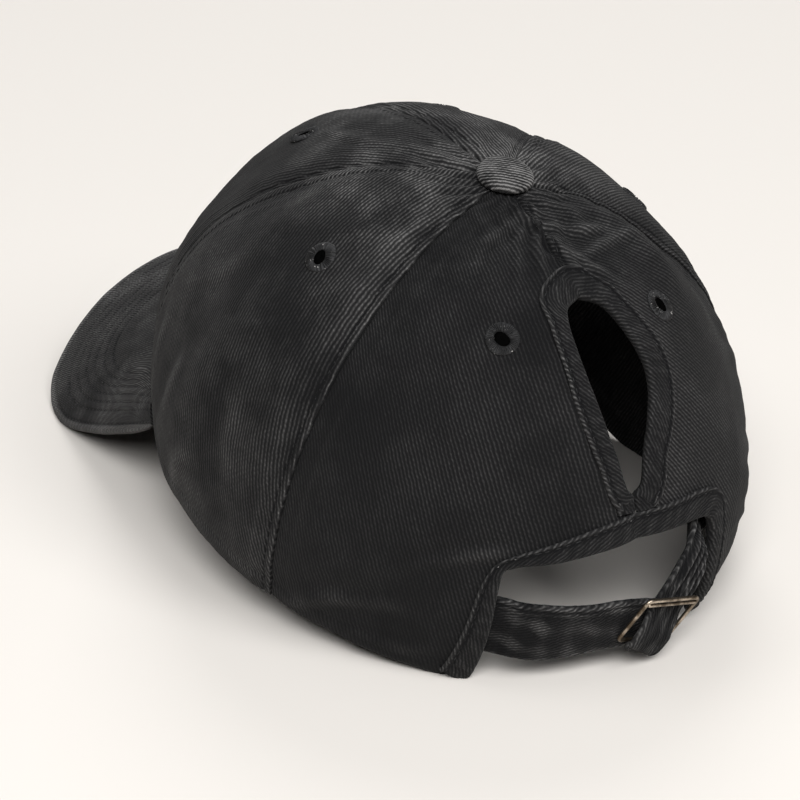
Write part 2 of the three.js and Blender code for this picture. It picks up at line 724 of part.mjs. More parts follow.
// A strip folded over a cut edge: at each place a lip outside, a fold and a lip inside. A row
// of its profile tells how far over the cloth it lies as a share of the strip's width, how far
// past the cut edge, and its lift from the middle of the cloth.
function stripGeometry(path) {
  const under = clothThickness / 2 + stripClearance;
  const over = under + stripThickness;
  const round = 0.72 * foldSetback;
  const profile = [
    { reach: 1, past: 0, lift: under },
    { reach: 1, past: 0, lift: over },
    { reach: 0, past: round, lift: over },
    { reach: 0, past: foldSetback, lift: 0 },
    { reach: 0, past: round, lift: -over },
    { reach: innerLip, past: 0, lift: -over },
    { reach: innerLip, past: 0, lift: -under },
    { reach: 0, past: stripClearance, lift: -under },
    { reach: 0, past: stripClearance, lift: under },
  ];
  const sections = path.map((place, i) => {
    const before = path[Math.max(i - 1, 0)];
    const after = path[Math.min(i + 1, path.length - 1)];
    const along = domePoint(after.angle, after.share).sub(domePoint(before.angle, before.share));
    const normal = surfaceNormal(domePoint, place.angle, place.share);
    const step = surfaceStep(place, normal.cross(along).normalize());
    return profile.map(({ reach, past, lift }) => {
      const distance = reach * place.strip - past;
      const share = Math.max(place.share + step.share * distance, 0);
      return settle(overCrown(place.angle + step.angle * distance, share, lift));
    });
  });
  const outline = profile.map(({ reach, past, lift }) => [reach * archStripWidth - past, lift]);
  return loftGeometry(sections, outline, false);
}

// Path of the strip round the arch, from the left leg over the centre to the right leg.
function archPath() {
  return [...cutEdges.left.arch, ...cutEdges.right.arch.slice().reverse()];
}

// Path of the strip round the ponytail opening, from one leg over the top to the other. The
// legs end just above the strip of the arch.
function openingPath() {
  const archTop = archHeight + foldSetback + archEdge.left.at(-1).strip * archStripWidth + clearance;
  const leg = (side) => {
    const sign = side === "left" ? 1 : -1;
    const strip = openingEdge[0][`${side}Strip`] * openingStripWidth;
    return { ...backPlace(sign * slitHalfWidth, archTop), strip };
  };
  const left = [leg("left"), ...cutEdges.left.opening.slice(0, -1)];
  const right = [leg("right"), ...cutEdges.right.opening.slice(0, -1)];
  const top = cutEdges.left.opening.at(-1);
  return [...left, { ...top, angle: Math.PI }, ...right.reverse().map(unwrap)];
}

// The same place with its angle counted on past the centre of the back.
function unwrap(place) {
  return { ...place, angle: place.angle < 0 ? place.angle + 2 * Math.PI : place.angle };
}

// A flat band through sections with a centre, an across vector and a thickness vector. waves
// gathers the band into lengthwise ridges.
function bandGeometry(sections, sides, ripple, waves) {
  const outline = [];
  for (let k = 0; k <= sides; k++) {
    outline.push([-1 + 2 * k / sides, 0.5]);
  }
  for (let k = sides; k >= 0; k--) {
    outline.push([-1 + 2 * k / sides, -0.5]);
  }
  const rings = sections.map((section) => outline.map(([across, out]) => {
    const edge = Math.abs(across) === 1 ? 0.55 : 1;
    const wave = ripple * Math.cos(waves * Math.PI * across);
    const lift = out * edge * section.thickness + wave * section.gather;
    return settle(section.centre.clone()
      .addScaledVector(section.across, across)
      .addScaledVector(section.normal, lift));
  }));
  return loftGeometry(rings, outline, false);
}

function strapGeometry() {
  const curve = new THREE.CatmullRomCurve3(strapRoute.map((row) => new THREE.Vector3(row.x, row.up, row.out)));
  const halves = new THREE.CatmullRomCurve3(strapRoute.map((row) => new THREE.Vector3(row.x, row.half, 0)));
  const steps = 22;
  const sections = [];
  for (let i = 0; i <= steps; i++) {
    const row = curve.getPoint(i / steps);
    const half = halves.getPoint(i / steps).y * strapWidth;
    const x = row.x * archHalfWidth;
    const z = row.y * strapWidth;
    const lift = row.z * strapThickness;
    const top = backPoint(x, z + half, lift);
    const bottom = backPoint(x, z - half, lift);
    const centre = backPoint(x, z, lift);
    const across = top.clone().sub(bottom).multiplyScalar(0.5);
    const normal = backPoint(x, z, lift + 1).sub(centre);
    sections.push({ centre, across, normal, thickness: strapThickness, gather: 0 });
  }
  return bandGeometry(sections, 4, 0, 0);
}

function tabGeometry() {
  const curve = new THREE.CatmullRomCurve3(tabRoute.map((row) => new THREE.Vector3(row.x, row.z, row.out)));
  const halves = new THREE.CatmullRomCurve3(tabRoute.map((row) => new THREE.Vector3(row.x, row.half, 0)));
  const gathers = new THREE.CatmullRomCurve3(tabRoute.map((row) => new THREE.Vector3(row.x, row.gather, 0)));
  const steps = 20;
  const centreAt = (t) => {
    const row = curve.getPoint(Math.min(Math.max(t, 0), 1));
    return backPoint(row.x * archHalfWidth, row.y * tabLength, row.z * strapThickness);
  };
  const sections = [];
  for (let i = 0; i <= steps; i++) {
    const t = i / steps;
    const row = curve.getPoint(t);
    const centre = centreAt(t);
    const along = centreAt(t + 0.02).sub(centreAt(t - 0.02)).normalize();
    const out = backPoint(row.x * archHalfWidth, row.y * tabLength, row.z * strapThickness + 1).sub(centre);
    const across = along.clone().cross(out).normalize();
    const normal = across.clone().cross(along).normalize();
    const half = halves.getPoint(t).y * tabWidth;
    const gather = gathers.getPoint(t).y;
    sections.push({ centre, across: across.multiplyScalar(half), normal, thickness: tabThickness, gather });
  }
  return bandGeometry(sections, 8, tabRipple, 2.5);
}

// The buckle's frame: a rounded rectangle of wire with a second bar beside its top bar.
function buckleGeometry() {
  const radius = wireDiameter / 2;
  const halfWidth = buckleWidth / 2 - buckleCorner;
  const halfHeight = buckleHeight / 2 - buckleCorner;
  const corners = [
    [halfWidth, halfHeight, 0], [-halfWidth, halfHeight, 90],
    [-halfWidth, -halfHeight, 180], [halfWidth, -halfHeight, 270],
  ];
  const sections = [];
  const sides = 8;
  for (const [x, y, start] of corners) {
    for (let i = 0; i <= 3; i++) {
      const round = (start + 30 * i) * degree;
      const outward = new THREE.Vector3(Math.cos(round), Math.sin(round), 0);
      const centre = new THREE.Vector3(x, y, 0).addScaledVector(outward, buckleCorner);
      sections.push(Array.from({ length: sides }, (unused, k) => {
        const turnAngle = 2 * Math.PI * k / sides;
        const point = centre.clone().addScaledVector(outward, radius * Math.cos(turnAngle));
        point.z += radius * Math.sin(turnAngle);
        return point;
      }));
    }
  }
  const frame = loftGeometry(sections, sections[0].map((point) => [point.x, point.y]), true);
  const place = new THREE.Matrix4().makeRotationY(Math.PI / 2);
  place.setPosition(0, buckleHeight / 2 - wireDiameter * 1.15, wireDiameter * 0.35);
  const bar = rodGeometry(radius * 0.8, buckleWidth - wireDiameter, sides, place);
  return asGeometry(asSolid(frame).add(asSolid(bar)));
}

function buttonGeometry() {
  const radius = buttonDiameter / 2;
  const profile = [
    [0, 0], [radius * 0.8, 0], [radius * 0.96, 0.14], [radius, 0.34], [radius * 0.95, 0.56],
    [radius * 0.78, 0.79], [radius * 0.5, 0.94], [0, 1],
  ];
  const points = profile.map(([r, up]) => new THREE.Vector2(r, up * buttonHeight));
  return new THREE.LatheGeometry(points, 20).rotateX(Math.PI / 2);
}

function eyeletGeometry() {
  const outer = eyeletDiameter / 2;
  const inner = eyeletHole / 2;
  const profile = [
    [inner, 0.1], [outer * 0.94, 0], [outer, 0.35], [outer * 0.84, 0.85],
    [(outer + inner) / 2, 1], [inner * 1.2, 0.8], [inner, 0.1],
  ];
  const points = profile.map(([r, up]) => new THREE.Vector2(r, up * eyeletThickness));
  return new THREE.LatheGeometry(points, ringSides).rotateX(Math.PI / 2);
}

// Assembly
const cap = new THREE.Group();
cap.quaternion.copy(restRotation);

function addPiece(name, geometry, material) {
  const mesh = new THREE.Mesh(geometry, material);
  mesh.name = name;
  cap.add(mesh);
  return mesh;
}

const panelSpans = {
  front: [seamAngles.front, seamAngles.side],
  side: [seamAngles.side, seamAngles.rear],
};
for (const side of ["left", "right"]) {
  const sign = side === "left" ? 1 : -1;
  for (const { place, angle, share } of eyelets) {
    const span = panelSpans[place]?.map((end) => sign * end).sort((a, b) => a - b);
    const panel = span ? panelGeometry(span[0], span[1]) : backPanelGeometry(side);
    const round = sign * angle * degree;
    addPiece(`crown_panel_${place}_${side}`, drilled(panel, round, share), twill);
    const eyelet = addPiece(`eyelet_${place}_${side}`, eyeletGeometry(), thread);
    eyelet.applyMatrix4(crownFrame(round, share, clothThickness / 2 + clearance));
  }
}

const button = addPiece("button", buttonGeometry(), twill);
button.position.copy(crownPoint(0, 1));
button.position.z += clothThickness / 2 + clearance;

const visorSurfaces = visorWalls();
visorSurfaces.top.flat().forEach(settle);
visorSurfaces.bottom.flat().forEach(settle);
addPiece("visor", wallGeometry(visorSurfaces.top, visorSurfaces.bottom), twill);

addPiece("arch_binding", stripGeometry(archPath().map(unwrap)), stripTwill);
addPiece("ponytail_binding", stripGeometry(openingPath()), stripTwill);
addPiece("strap", strapGeometry(), stripTwill);
addPiece("strap_tab", tabGeometry(), stripTwill);

const buckle = addPiece("buckle", buckleGeometry(), paleBrass);
const buckleX = buckleCentre.x * archHalfWidth;
const buckleZ = buckleCentre.z * tabLength;
const buckleOut = buckleCentre.out * strapThickness;
const seat = backPoint(buckleX, buckleZ, buckleOut);
const facing = backPoint(buckleX, buckleZ, buckleOut + 1).sub(seat);
const barAlong = new THREE.Vector3(-Math.cos(buckleTilt * degree), 0, -Math.sin(buckleTilt * degree));
barAlong.addScaledVector(facing, -barAlong.dot(facing)).normalize();
const swing = new THREE.Quaternion().setFromAxisAngle(barAlong, buckleSwing * degree);
facing.applyQuaternion(swing);
const upAlong = facing.clone().cross(barAlong);
buckle.applyMatrix4(new THREE.Matrix4().makeBasis(barAlong, upAlong, facing).setPosition(seat));

// The row's origin is the middle of the footprint, on the table.
cap.position.z = restLift;
cap.updateMatrixWorld(true);
const box = new THREE.Box3().setFromObject(cap, true);
cap.position.x = -(box.min.x + box.max.x) / 2;
cap.position.y = -(box.min.y + box.max.y) / 2;
cap.updateMatrixWorld(true);

export default cap;
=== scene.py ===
import math
import bpy
import numpy as np
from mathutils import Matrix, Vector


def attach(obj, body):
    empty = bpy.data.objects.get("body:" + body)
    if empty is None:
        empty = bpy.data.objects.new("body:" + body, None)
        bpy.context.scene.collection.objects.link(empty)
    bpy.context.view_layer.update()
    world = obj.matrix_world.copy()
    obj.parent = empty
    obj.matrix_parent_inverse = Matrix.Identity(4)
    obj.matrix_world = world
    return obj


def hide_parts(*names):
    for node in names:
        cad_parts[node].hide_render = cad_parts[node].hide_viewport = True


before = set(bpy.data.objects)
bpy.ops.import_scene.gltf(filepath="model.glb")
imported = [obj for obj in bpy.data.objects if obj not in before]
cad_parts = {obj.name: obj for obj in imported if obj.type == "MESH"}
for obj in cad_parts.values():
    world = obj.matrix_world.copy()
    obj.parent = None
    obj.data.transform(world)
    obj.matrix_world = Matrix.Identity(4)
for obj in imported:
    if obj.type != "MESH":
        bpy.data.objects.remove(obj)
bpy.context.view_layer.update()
print("frame loaded")

mm = 0.001
degree = math.pi / 180

# The cap's own frame has its rim near z = 0, the visor towards -y and the wearer's left at
# +x, in millimetres. These values lay it down in the row frame.
rest = {"lean": -2.3, "pitch": -13.3278, "shift": (0.2733, 19.1862, 15.0179)}

crown = {
    "halfLength": 99.0, "halfWidth": 80.2, "height": 110.2, "apexSetback": 5.7,
    "taper": (0.828, -0.037), "climb": (1.151, -0.059), "belly": (0.146, 0.013),
    "cornerFullness": 0.0075, "rimRiseBack": 3.4, "rimDropFront": 1.1, "rimRiseVisor": 8.0,
    "topHole": 2.6, "cloth": 1.2, "clearance": 0.3, "stripClearance": 0.45, "strip": 0.7,
    "seamDepth": 1.1, "seamHalfWidth": 6.0, "seamFade": 0.1, "foldDepth": 2.4, "tuck": 9.5,
    "visorHalfAngle": 61.53,
}
seamAngles = (0.0, 53.0, 110.8, 180.0)
frontSeam, rearSeam = seamAngles[1:3]

# Soft folds: angle, share of the climb, width in degrees, height as a share, slant, depth
folds = np.array([
    (70, 0.34, 9, 0.26, 25, -0.9), (82, 0.22, 6, 0.2, 30, 0.6), (60, 0.62, 8, 0.13, -40, -0.7),
    (104, 0.5, 5, 0.3, 0, 0.5), (133, 0.12, 8, 0.15, 60, -0.8), (128, 0.5, 12, 0.2, 0, -0.5),
    (150, 0.86, 12, 0.07, 0, -0.7), (-160, 0.87, 9, 0.06, 0, -0.8), (-128, 0.74, 8, 0.12, 50, 0.9),
    (-116, 0.62, 6, 0.16, 50, -0.7), (-140, 0.3, 9, 0.12, -60, 0.6), (-84, 0.4, 12, 0.3, 0, -0.6),
    (33, 0.48, 20, 0.24, 0, -1.5), (-36, 0.66, 20, 0.2, 0, -0.7), (-138, 0.4, 12, 0.2, 0, -0.5),
])

# Shifts of the rim: angle, width in degrees, height as a share, lift and inward
rimShifts = ((-152, 17, 0.4, 1.0, 0.05), (-113, 16, 0.3, -0.62, -0.1), (-84, 16, 0.42, -1.45, 0))


# Rotation about y by the lean after a rotation about x by the pitch.
def restTurn():
    lean, pitch = rest["lean"] * degree, rest["pitch"] * degree
    c, s = math.cos(lean), math.sin(lean)
    aboutY = np.array([[c, 0, s], [0, 1, 0], [-s, 0, c]])
    c, s = math.cos(pitch), math.sin(pitch)
    aboutX = np.array([[1, 0, 0], [0, c, -s], [0, s, c]])
    return aboutY @ aboutX


turnToRow = restTurn()
shiftToRow = np.array(rest["shift"])


# Points of the cap's own frame in the row frame, in metres.
def toRow(points):
    return (points @ turnToRow.T + shiftToRow) * mm


# Lifts what would lie below the surface up to it.
def settle(points):
    height = points @ turnToRow[2] + shiftToRow[2]
    return points - np.minimum(height, 0)[..., None] * turnToRow[2]


# Vectors divided by their lengths.
def unit(vectors):
    return vectors / np.maximum(np.linalg.norm(vectors, axis=-1, keepdims=True), 1e-12)


# Sum of the products of matching coordinates.
def dot(a, b):
    return np.sum(a * b, axis=-1)


# Gaussian bump: 1 at zero and 1/e at a width from it.
def hump(value, width):
    return np.exp(-(value / width) ** 2)


# Cubic ramp from 0 at low to 1 at high, level at both ends.
def smooth(value, low, high):
    t = np.clip((value - low) / (high - low), 0, 1)
    return t * t * (3 - 2 * t)


# Length run through along a row of points.
def runningLength(points):
    return np.concatenate([[0], np.cumsum(np.linalg.norm(np.diff(points, axis=0), axis=1))])


# Linear interpolation of each coordinate of points along a running length.
def placesAlong(wanted, run, points):
    return np.stack([np.interp(wanted, run, points[:, k]) for k in range(points.shape[1])], axis=1)


# Flat cloth coordinates turned by an angle in degrees, so that x runs across the ribs.
def turnedWeave(x, y, turn):
    c, s = math.cos(turn * degree), math.sin(turn * degree)
    return np.stack([x * c + y * s, y * c - x * s], axis=-1)


# Points of a circle's two axes at distances r and angles around, about a base.
def circled(base, r, around, first, second):
    return base + r[..., None] * (np.cos(around)[..., None] * first + np.sin(around)[..., None] * second)


# Sum of plane waves whose directions and phases come from a seeded generator; about -1 to 1.
def waves(x, y, length, seed, count=9):
    rng = np.random.default_rng(seed)
    heading = rng.uniform(0, math.pi, count)
    phase = rng.uniform(0, 2 * math.pi, count)
    size = length * rng.uniform(0.7, 1.5, count)
    total = np.zeros(np.broadcast(x, y).shape)
    for k in range(count):
        across = x * math.cos(heading[k]) + y * math.sin(heading[k])
        total += np.sin(2 * math.pi * across / size[k] + phase[k])
    return total / math.sqrt(count)


# Height of the rim: a rise at the back, a drop at the front and the arch of the visor.
def rimHeight(angle):
    c = np.cos(angle)
    arch = np.where(np.abs(angle) < crown["visorHalfAngle"] * degree,
                    np.cos(np.clip(angle / (crown["visorHalfAngle"] * degree), -1, 1) * math.pi / 2) ** 2, 0)
    return (crown["rimRiseBack"] * ((1 - c) / 2) ** 2 - crown["rimDropFront"] * ((1 + c) / 2) ** 2
            + crown["rimRiseVisor"] * arch)


# The angle less whole turns, between minus and plus half a turn.
def wrapped(angle):
    return angle - 2 * math.pi * np.round(angle / (2 * math.pi))


# Reach of the dome: a power of the climb's cosine, swelled below by the belly.
def domeReach(angle, share):
    c = np.cos(angle)
    climb = np.clip(share, 0, 1) * math.pi / 2
    taper = crown["taper"][0] + crown["taper"][1] * c
    belly = crown["belly"][0] + crown["belly"][1] * c
    corner = 1 + crown["cornerFullness"] * np.sin(2 * angle) ** 2
    return np.cos(climb) ** taper * (1 + belly * np.sin(2 * climb)) * corner


# A point of the dome: an ellipse of the reach, at a height by a power of the climb's sine.
def domePoint(angle, share):
    angle, share = np.broadcast_arrays(wrapped(np.asarray(angle, float)), np.asarray(share, float))
    climb = np.clip(share, 0, 1) * math.pi / 2
    reach = domeReach(angle, share)
    power = crown["climb"][0] + crown["climb"][1] * np.cos(angle)
    rim = rimHeight(angle)
    x = crown["halfWidth"] * reach * np.sin(angle)
    y = -crown["halfLength"] * reach * np.cos(angle) + crown["apexSetback"] * (1 - np.cos(climb))
    z = rim + (crown["height"] - rim) * np.sin(climb) ** power
    return np.stack([x, y, z], axis=-1)


# Outward normal by central differences along both parameters.
def surfaceNormal(surface, angle, share, step=0.004):
    around = surface(angle + step, share) - surface(angle - step, share)
    rise = surface(angle, np.minimum(share + step, 1)) - surface(angle, np.maximum(share - step, 0))
    return unit(np.cross(around, rise))


# Degrees from a place to an angle, the short way round.
def turnFrom(angle, place):
    raw = angle / degree - place
    return raw - 360 * np.round(raw / 360)


# Valleys at the seams and broad Gaussian folds, as in the solids.
def relief(angle, share):
    radius = crown["halfWidth"] * domeReach(angle, share)
    valley = np.zeros(np.broadcast(angle, share).shape)
    for seam in seamAngles:
        for side in (1, -1):
            distance = turnFrom(angle, side * seam) * degree * radius
            valley = np.maximum(valley, hump(distance, crown["seamHalfWidth"]))
    height = -crown["seamDepth"] * valley * np.minimum(1, (1 - share) / crown["seamFade"])
    for place, centre, wide, tall, slant, depth in folds:
        along = (share - centre) / tall
        across = (turnFrom(angle, place) - slant * (share - centre)) / wide
        height = height + crown["foldDepth"] * depth * np.exp(-along ** 2 - across ** 2)
    return height


# Gaussian shifts of the rim that fade out with the height by a power.
def rimShift(angle, share):
    shift = np.zeros(np.broadcast(angle, share).shape + (3,))
    for place, wide, tall, lift, inward in rimShifts:
        amount = crown["tuck"] * hump(turnFrom(angle, place), wide) * np.maximum(0, 1 - share / tall) ** 1.5
        shift[..., 0] -= np.sin(angle) * amount * inward
        shift[..., 1] += np.cos(angle) * amount * inward
        shift[..., 2] += amount * lift
    return shift


# Middle surface of the crown: the dome moved along its normal by the relief.
def crownPoint(angle, share):
    angle, share = np.broadcast_arrays(np.asarray(angle, float), np.asarray(share, float))
    normal = surfaceNormal(domePoint, angle, share)
    return domePoint(angle, share) + normal * relief(angle, share)[..., None] + rimShift(angle, share)


# Running length of the rim's ellipse from the front, by summed chords.
arcAngles = np.linspace(0, math.pi, 721)
arcSpeed = np.hypot(crown["halfWidth"] * np.cos(arcAngles), crown["halfLength"] * np.sin(arcAngles))
arcSteps = (arcSpeed[1:] + arcSpeed[:-1]) / 2 * (arcAngles[1] - arcAngles[0])
arcLengths = np.concatenate([[0], np.cumsum(arcSteps)])
climbShares = np.linspace(0, 1, 201)
backLengths = runningLength(domePoint(np.full(201, math.pi), climbShares))
topShare = np.interp(backLengths[-1] - crown["topHole"], backLengths, climbShares)


# Length along the rim's ellipse from the front, negative on the right side.
def arcAt(angle):
    near = wrapped(angle)
    return np.sign(near) * np.interp(np.abs(near), arcAngles, arcLengths)


# Length round the cap from one angle to another at a share of the climb, the short way.
def arcFrom(angle, place, share):
    full = 2 * arcLengths[-1]
    run = arcAt(angle) - arcAt(np.asarray(place, float))
    return (run - full * np.round(run / full)) * domeReach(angle, share)


# What a user may change on the cloth, in millimetres but for the count of the fan's folds
detail = {
    "seamRoll": 0.6, "seamRollWidth": 0.45, "lap": 0.5, "lapWidth": 5.0, "allowance": 0.2,
    "allowanceMiddle": 7.2, "stitchSink": 0.36, "pucker": 0.16, "puckerLength": 6.0,
    "puckerMiddle": 3.0, "puckerWidth": 3.4, "fan": 0.5, "fanFolds": 17, "fanMiddle": 14, "fanWidth": 12,
    "rimFold": 0.45, "rimFoldHeight": 9.0, "softness": 0.16, "softLength": 26,
    "ripple": 0.05, "rippleLength": 11, "unevenness": 0.04, "unevenLength": 4.5,
    "rowWidth": 0.48,
}

# Sharp creases: angle, share, slant in degrees from upright, half length, width, height
creases = np.array([
    (172, 0.86, 12, 12, 1.3, 0.8), (-176, 0.85, -8, 14, 1.2, 0.85), (-168, 0.84, -22, 15, 1.3, 0.8),
    (158, 0.85, 20, 13, 1.5, 0.65), (-150, 0.87, -40, 13, 1.4, 0.7), (140, 0.86, 25, 12, 1.5, 0.5),
    (-140, 0.8, -70, 12, 1.5, 0.6), (146, 0.3, 68, 15, 2.0, 0.55), (158, 0.22, 60, 13, 2.0, 0.5),
    (120, 0.08, 50, 16, 3.0, 0.6), (128, 0.13, 62, 14, 2.6, 0.5), (136, 0.06, 70, 10, 2.4, 0.4),
    (84, 0.12, 20, 16, 3.0, 0.5), (74, 0.2, 12, 18, 3.2, 0.5), (62, 0.2, 5, 20, 2.4, 0.4),
    (67, 0.45, 30, 14, 3.0, 0.35), (96, 0.3, -15, 16, 3.0, 0.3), (30, 0.75, 20, 14, 2.0, 0.35),
    (-30, 0.8, -20, 12, 2.0, 0.3), (-60, 0.5, 30, 16, 3.0, 0.4), (-130, 0.3, -60, 14, 2.4, 0.5),
    (-140, 0.2, -65, 12, 2.2, 0.45), (-122, 0.45, -50, 14, 2.4, 0.4), (100, 0.78, 10, 10, 1.8, 0.3),
])


# Stitch rows beside each seam, in millimetres towards the back; those of the rear side seam
# lie on the side panel, whose edge laps over the back panel.
seamRows = {0.0: (3.4, -3.4), frontSeam: (3.2, -2.0), rearSeam: (-2.4,), 180.0: (1.3, -1.3)}


# Distance to the nearest seam, and how deep the rows of stitches sink beside it.
def seamDistance(angle, share):
    nearest = np.full(np.broadcast(angle, share).shape, 1e3)
    sunk = np.zeros(nearest.shape)
    for seam in seamAngles:
        for side in (1, -1):
            run = side * arcFrom(angle, side * seam * degree, share)
            nearest = np.minimum(nearest, np.abs(run))
            for row in seamRows[seam]:
                sunk = np.maximum(sunk, hump(run - row, detail["rowWidth"]))
    return nearest, sunk


# Angle and share of the climb of each eyelet
eyeletPlaces = {"front": (24.9, 0.617), "side": (88.0, 0.645), "back": (147.3, 0.675)}


# How flat the cloth lies near an eyelet, from 0 far away to 1 at its middle.
def nearEyelet(angle, share):
    flat = np.zeros(np.broadcast(angle, share).shape)
    for place, centre in eyeletPlaces.values():
        for side in (1, -1):
            x = arcFrom(angle, side * place * degree, share)
            y = (share - centre) * backLengths[-1]
            flat = np.maximum(flat, 1 - smooth(np.hypot(x, y), 4.5, 11))
    return flat


# Sharp creases: a ridge along a leaning, bent line between two shallow valleys. crest tells
# where their tops rub.
def creaseRelief(angle, share):
    height = np.zeros(angle.shape)
    crest = np.zeros(angle.shape)
    for place, centre, slant, half, width, size in creases:
        x = arcFrom(angle, place * degree, share)
        y = (share - centre) * backLengths[-1]
        lean = slant * degree
        along = x * math.sin(lean) + y * math.cos(lean)
        across = x * math.cos(lean) - y * math.sin(lean) + 1.2 * np.sin(along / half * 2.2 + place)
        ends = np.exp(-(along / half) ** 4)
        line = hump(across, width) * ends
        height += size * (line - 0.6 * hump(np.abs(across) - 1.9 * width, width) * ends)
        crest = np.maximum(crest, line * min(size * 2, 1))
    return height, crest


# Small forms on the cloth: the side panels lap over their neighbours, an allowance lies under
# them, stitches pull grooves, and puckers, creases and soft waves lie over all. wear is
# lighter where it rubs and darker in the stitch grooves and along the seam lines as painted shade.
def fineRelief(angle, share):
    angle, share = np.broadcast_arrays(np.asarray(angle, float), np.asarray(share, float))
    up = share * backLengths[-1]
    around = arcAt(angle) * domeReach(angle, share)
    gap, sunk = seamDistance(angle, share)
    turned = np.abs(wrapped(angle)) / degree
    onSide = ((turned > frontSeam) & (turned < rearSeam)).astype(float)
    height = -detail["seamRoll"] * hump(gap, detail["seamRollWidth"]) * (1 - 0.7 * onSide)
    height += detail["lap"] * onSide * hump(gap, detail["lapWidth"])
    ridge = hump(gap - detail["allowanceMiddle"], 0.9)
    height += detail["allowance"] * ridge * (0.6 + 0.4 * onSide)
    height -= detail["stitchSink"] * sunk
    pull = np.sin(2 * math.pi * (up + 1.4 * waves(around, up, 30, 3)) / detail["puckerLength"])
    pull = pull * np.clip(0.6 + waves(around, up, 40, 5), 0, 1)
    height += detail["pucker"] * pull * hump(gap - detail["puckerMiddle"], detail["puckerWidth"])
    creased, crest = creaseRelief(angle, share)
    height += creased
    fromTop = (1 - share) * backLengths[-1]
    fan = np.sin(wrapped(angle) * detail["fanFolds"] + 2.2 * waves(around, up, 45, 11))
    fan = fan * hump(fromTop - detail["fanMiddle"], detail["fanWidth"])
    height += detail["fan"] * fan
    rim = hump(up - detail["rimFoldHeight"], 1.1)
    height -= 0.3 * rim * smooth(np.abs(wrapped(angle)), 0.1, 0.3)
    height += detail["rimFold"] * smooth(detail["rimFoldHeight"] - up, 0, 2.5) * 0.5
    height += detail["softness"] * waves(around, up, detail["softLength"], 21)
    height += detail["ripple"] * waves(around, up, detail["rippleLength"], 22)
    height += detail["unevenness"] * waves(around, up, detail["unevenLength"], 23)
    wear = (0.1 + 0.6 * onSide) * hump(gap - 0.4, 0.35) + 0.14 * ridge + 0.6 * crest
    wear += 0.1 * hump(gap - 2.7, 0.6) + 0.25 * np.clip(fan, 0, 1)
    height *= 1 - nearEyelet(angle, share)
    wear += 0.5 * hump(up, 1.6) + 0.15 * hump(up - detail["rimFoldHeight"] + 1.5, 1.2)
    # Painted shade: darker in the stitch grooves and along the seam lines.
    wear -= 1.0 * sunk + 0.9 * hump(gap, 0.35) * (1 - 0.5 * onSide)
    return height, np.clip(wear * (0.75 + 0.35 * waves(around, up, 14, 31)), -1, 1)


# The cloth at a lift from its middle surface, with its small forms.
def clothPoint(angle, share, lift, scale=1.0):
    normal = surfaceNormal(crownPoint, angle, share)
    return crownPoint(angle, share) + normal * (lift + scale * fineRelief(angle, share)[0])[..., None]


# Quads between the neighbours of an array of indices.
def quadsOf(index):
    corners = [index[:-1, :-1], index[1:, :-1], index[1:, 1:], index[:-1, 1:]]
    return np.stack(corners, axis=-1).reshape(-1, 4)


# One mesh object from points in the cap's frame and quads; turned outwards by its volume.
def makeMesh(name, points, quads, weave=None, wear=None):
    corners = points[quads]
    volume = np.sum(dot(corners[:, 0], np.cross(corners[:, 1], corners[:, 2])))
    volume += np.sum(dot(corners[:, 0], np.cross(corners[:, 2], corners[:, 3])))
    if volume < 0:
        quads = quads[:, ::-1]
    mesh = bpy.data.meshes.new(name)
    mesh.vertices.add(len(points))
    mesh.vertices.foreach_set("co", toRow(points).astype(np.float32).ravel())
    mesh.loops.add(quads.size)
    mesh.loops.foreach_set("vertex_index", quads.astype(np.int32).ravel())
    mesh.polygons.add(len(quads))
    mesh.polygons.foreach_set("loop_start", np.arange(0, quads.size, 4, dtype=np.int32))
    mesh.polygons.foreach_set("loop_total", np.full(len(quads), 4, np.int32))
    mesh.update(calc_edges=True)
    mesh.validate()
    mesh.polygons.foreach_set("use_smooth", np.ones(len(mesh.polygons), bool))
    if weave is not None:
        layer = mesh.uv_layers.new(name="weave")
        picked = np.zeros(len(mesh.loops), np.int32)
        mesh.loops.foreach_get("vertex_index", picked)
        layer.data.foreach_set("uv", weave[picked].astype(np.float32).ravel())
    # wear: lighter where the cloth rubs, and painted shade in its grooves.
    if wear is not None:
        values = mesh.attributes.new("wear", "FLOAT", "POINT")
        values.data.foreach_set("value", wear.astype(np.float32))
    piece = bpy.data.objects.new(name, mesh)
    bpy.context.scene.collection.objects.link(piece)
    return piece


# A closed wall between two grids of the same size.
def wallMesh(name, outer, inner, weave, wear):
    n, m = outer.shape[:2]
    size = n * m
    front = np.arange(size).reshape(n, m)
    back = front + size
    rims = [np.stack([a[:-1], a[1:], b[1:], b[:-1]], axis=-1) for a, b in (
        (back[:, 0], front[:, 0]), (front[:, -1], back[:, -1]), (front[0], back[0]), (back[-1], front[-1]))]
    quads = np.concatenate([quadsOf(front), quadsOf(back)[:, ::-1], *rims])
    points = np.concatenate([outer.reshape(-1, 3), inner.reshape(-1, 3)])
    both = np.concatenate([weave.reshape(-1, 2)] * 2)
    rubAndShade = np.concatenate([wear.reshape(-1), 0.6 * wear.reshape(-1)])
    piece = makeMesh(name, points, quads, both, rubAndShade)
    piece.data.set_sharp_from_angle(angle=60 * degree)
    return piece


# A closed tube: a ring of sections, each a closed ring of points.
def ringMesh(name, grid, weave=None, wear=None):
    n, m = grid.shape[:2]
    index = np.arange(n * m).reshape(n, m)
    index = np.concatenate([index, index[:1]])
    index = np.concatenate([index, index[:, :1]], axis=1)
    quads = quadsOf(index)
    return makeMesh(name, grid.reshape(-1, 3), quads, weave, wear)


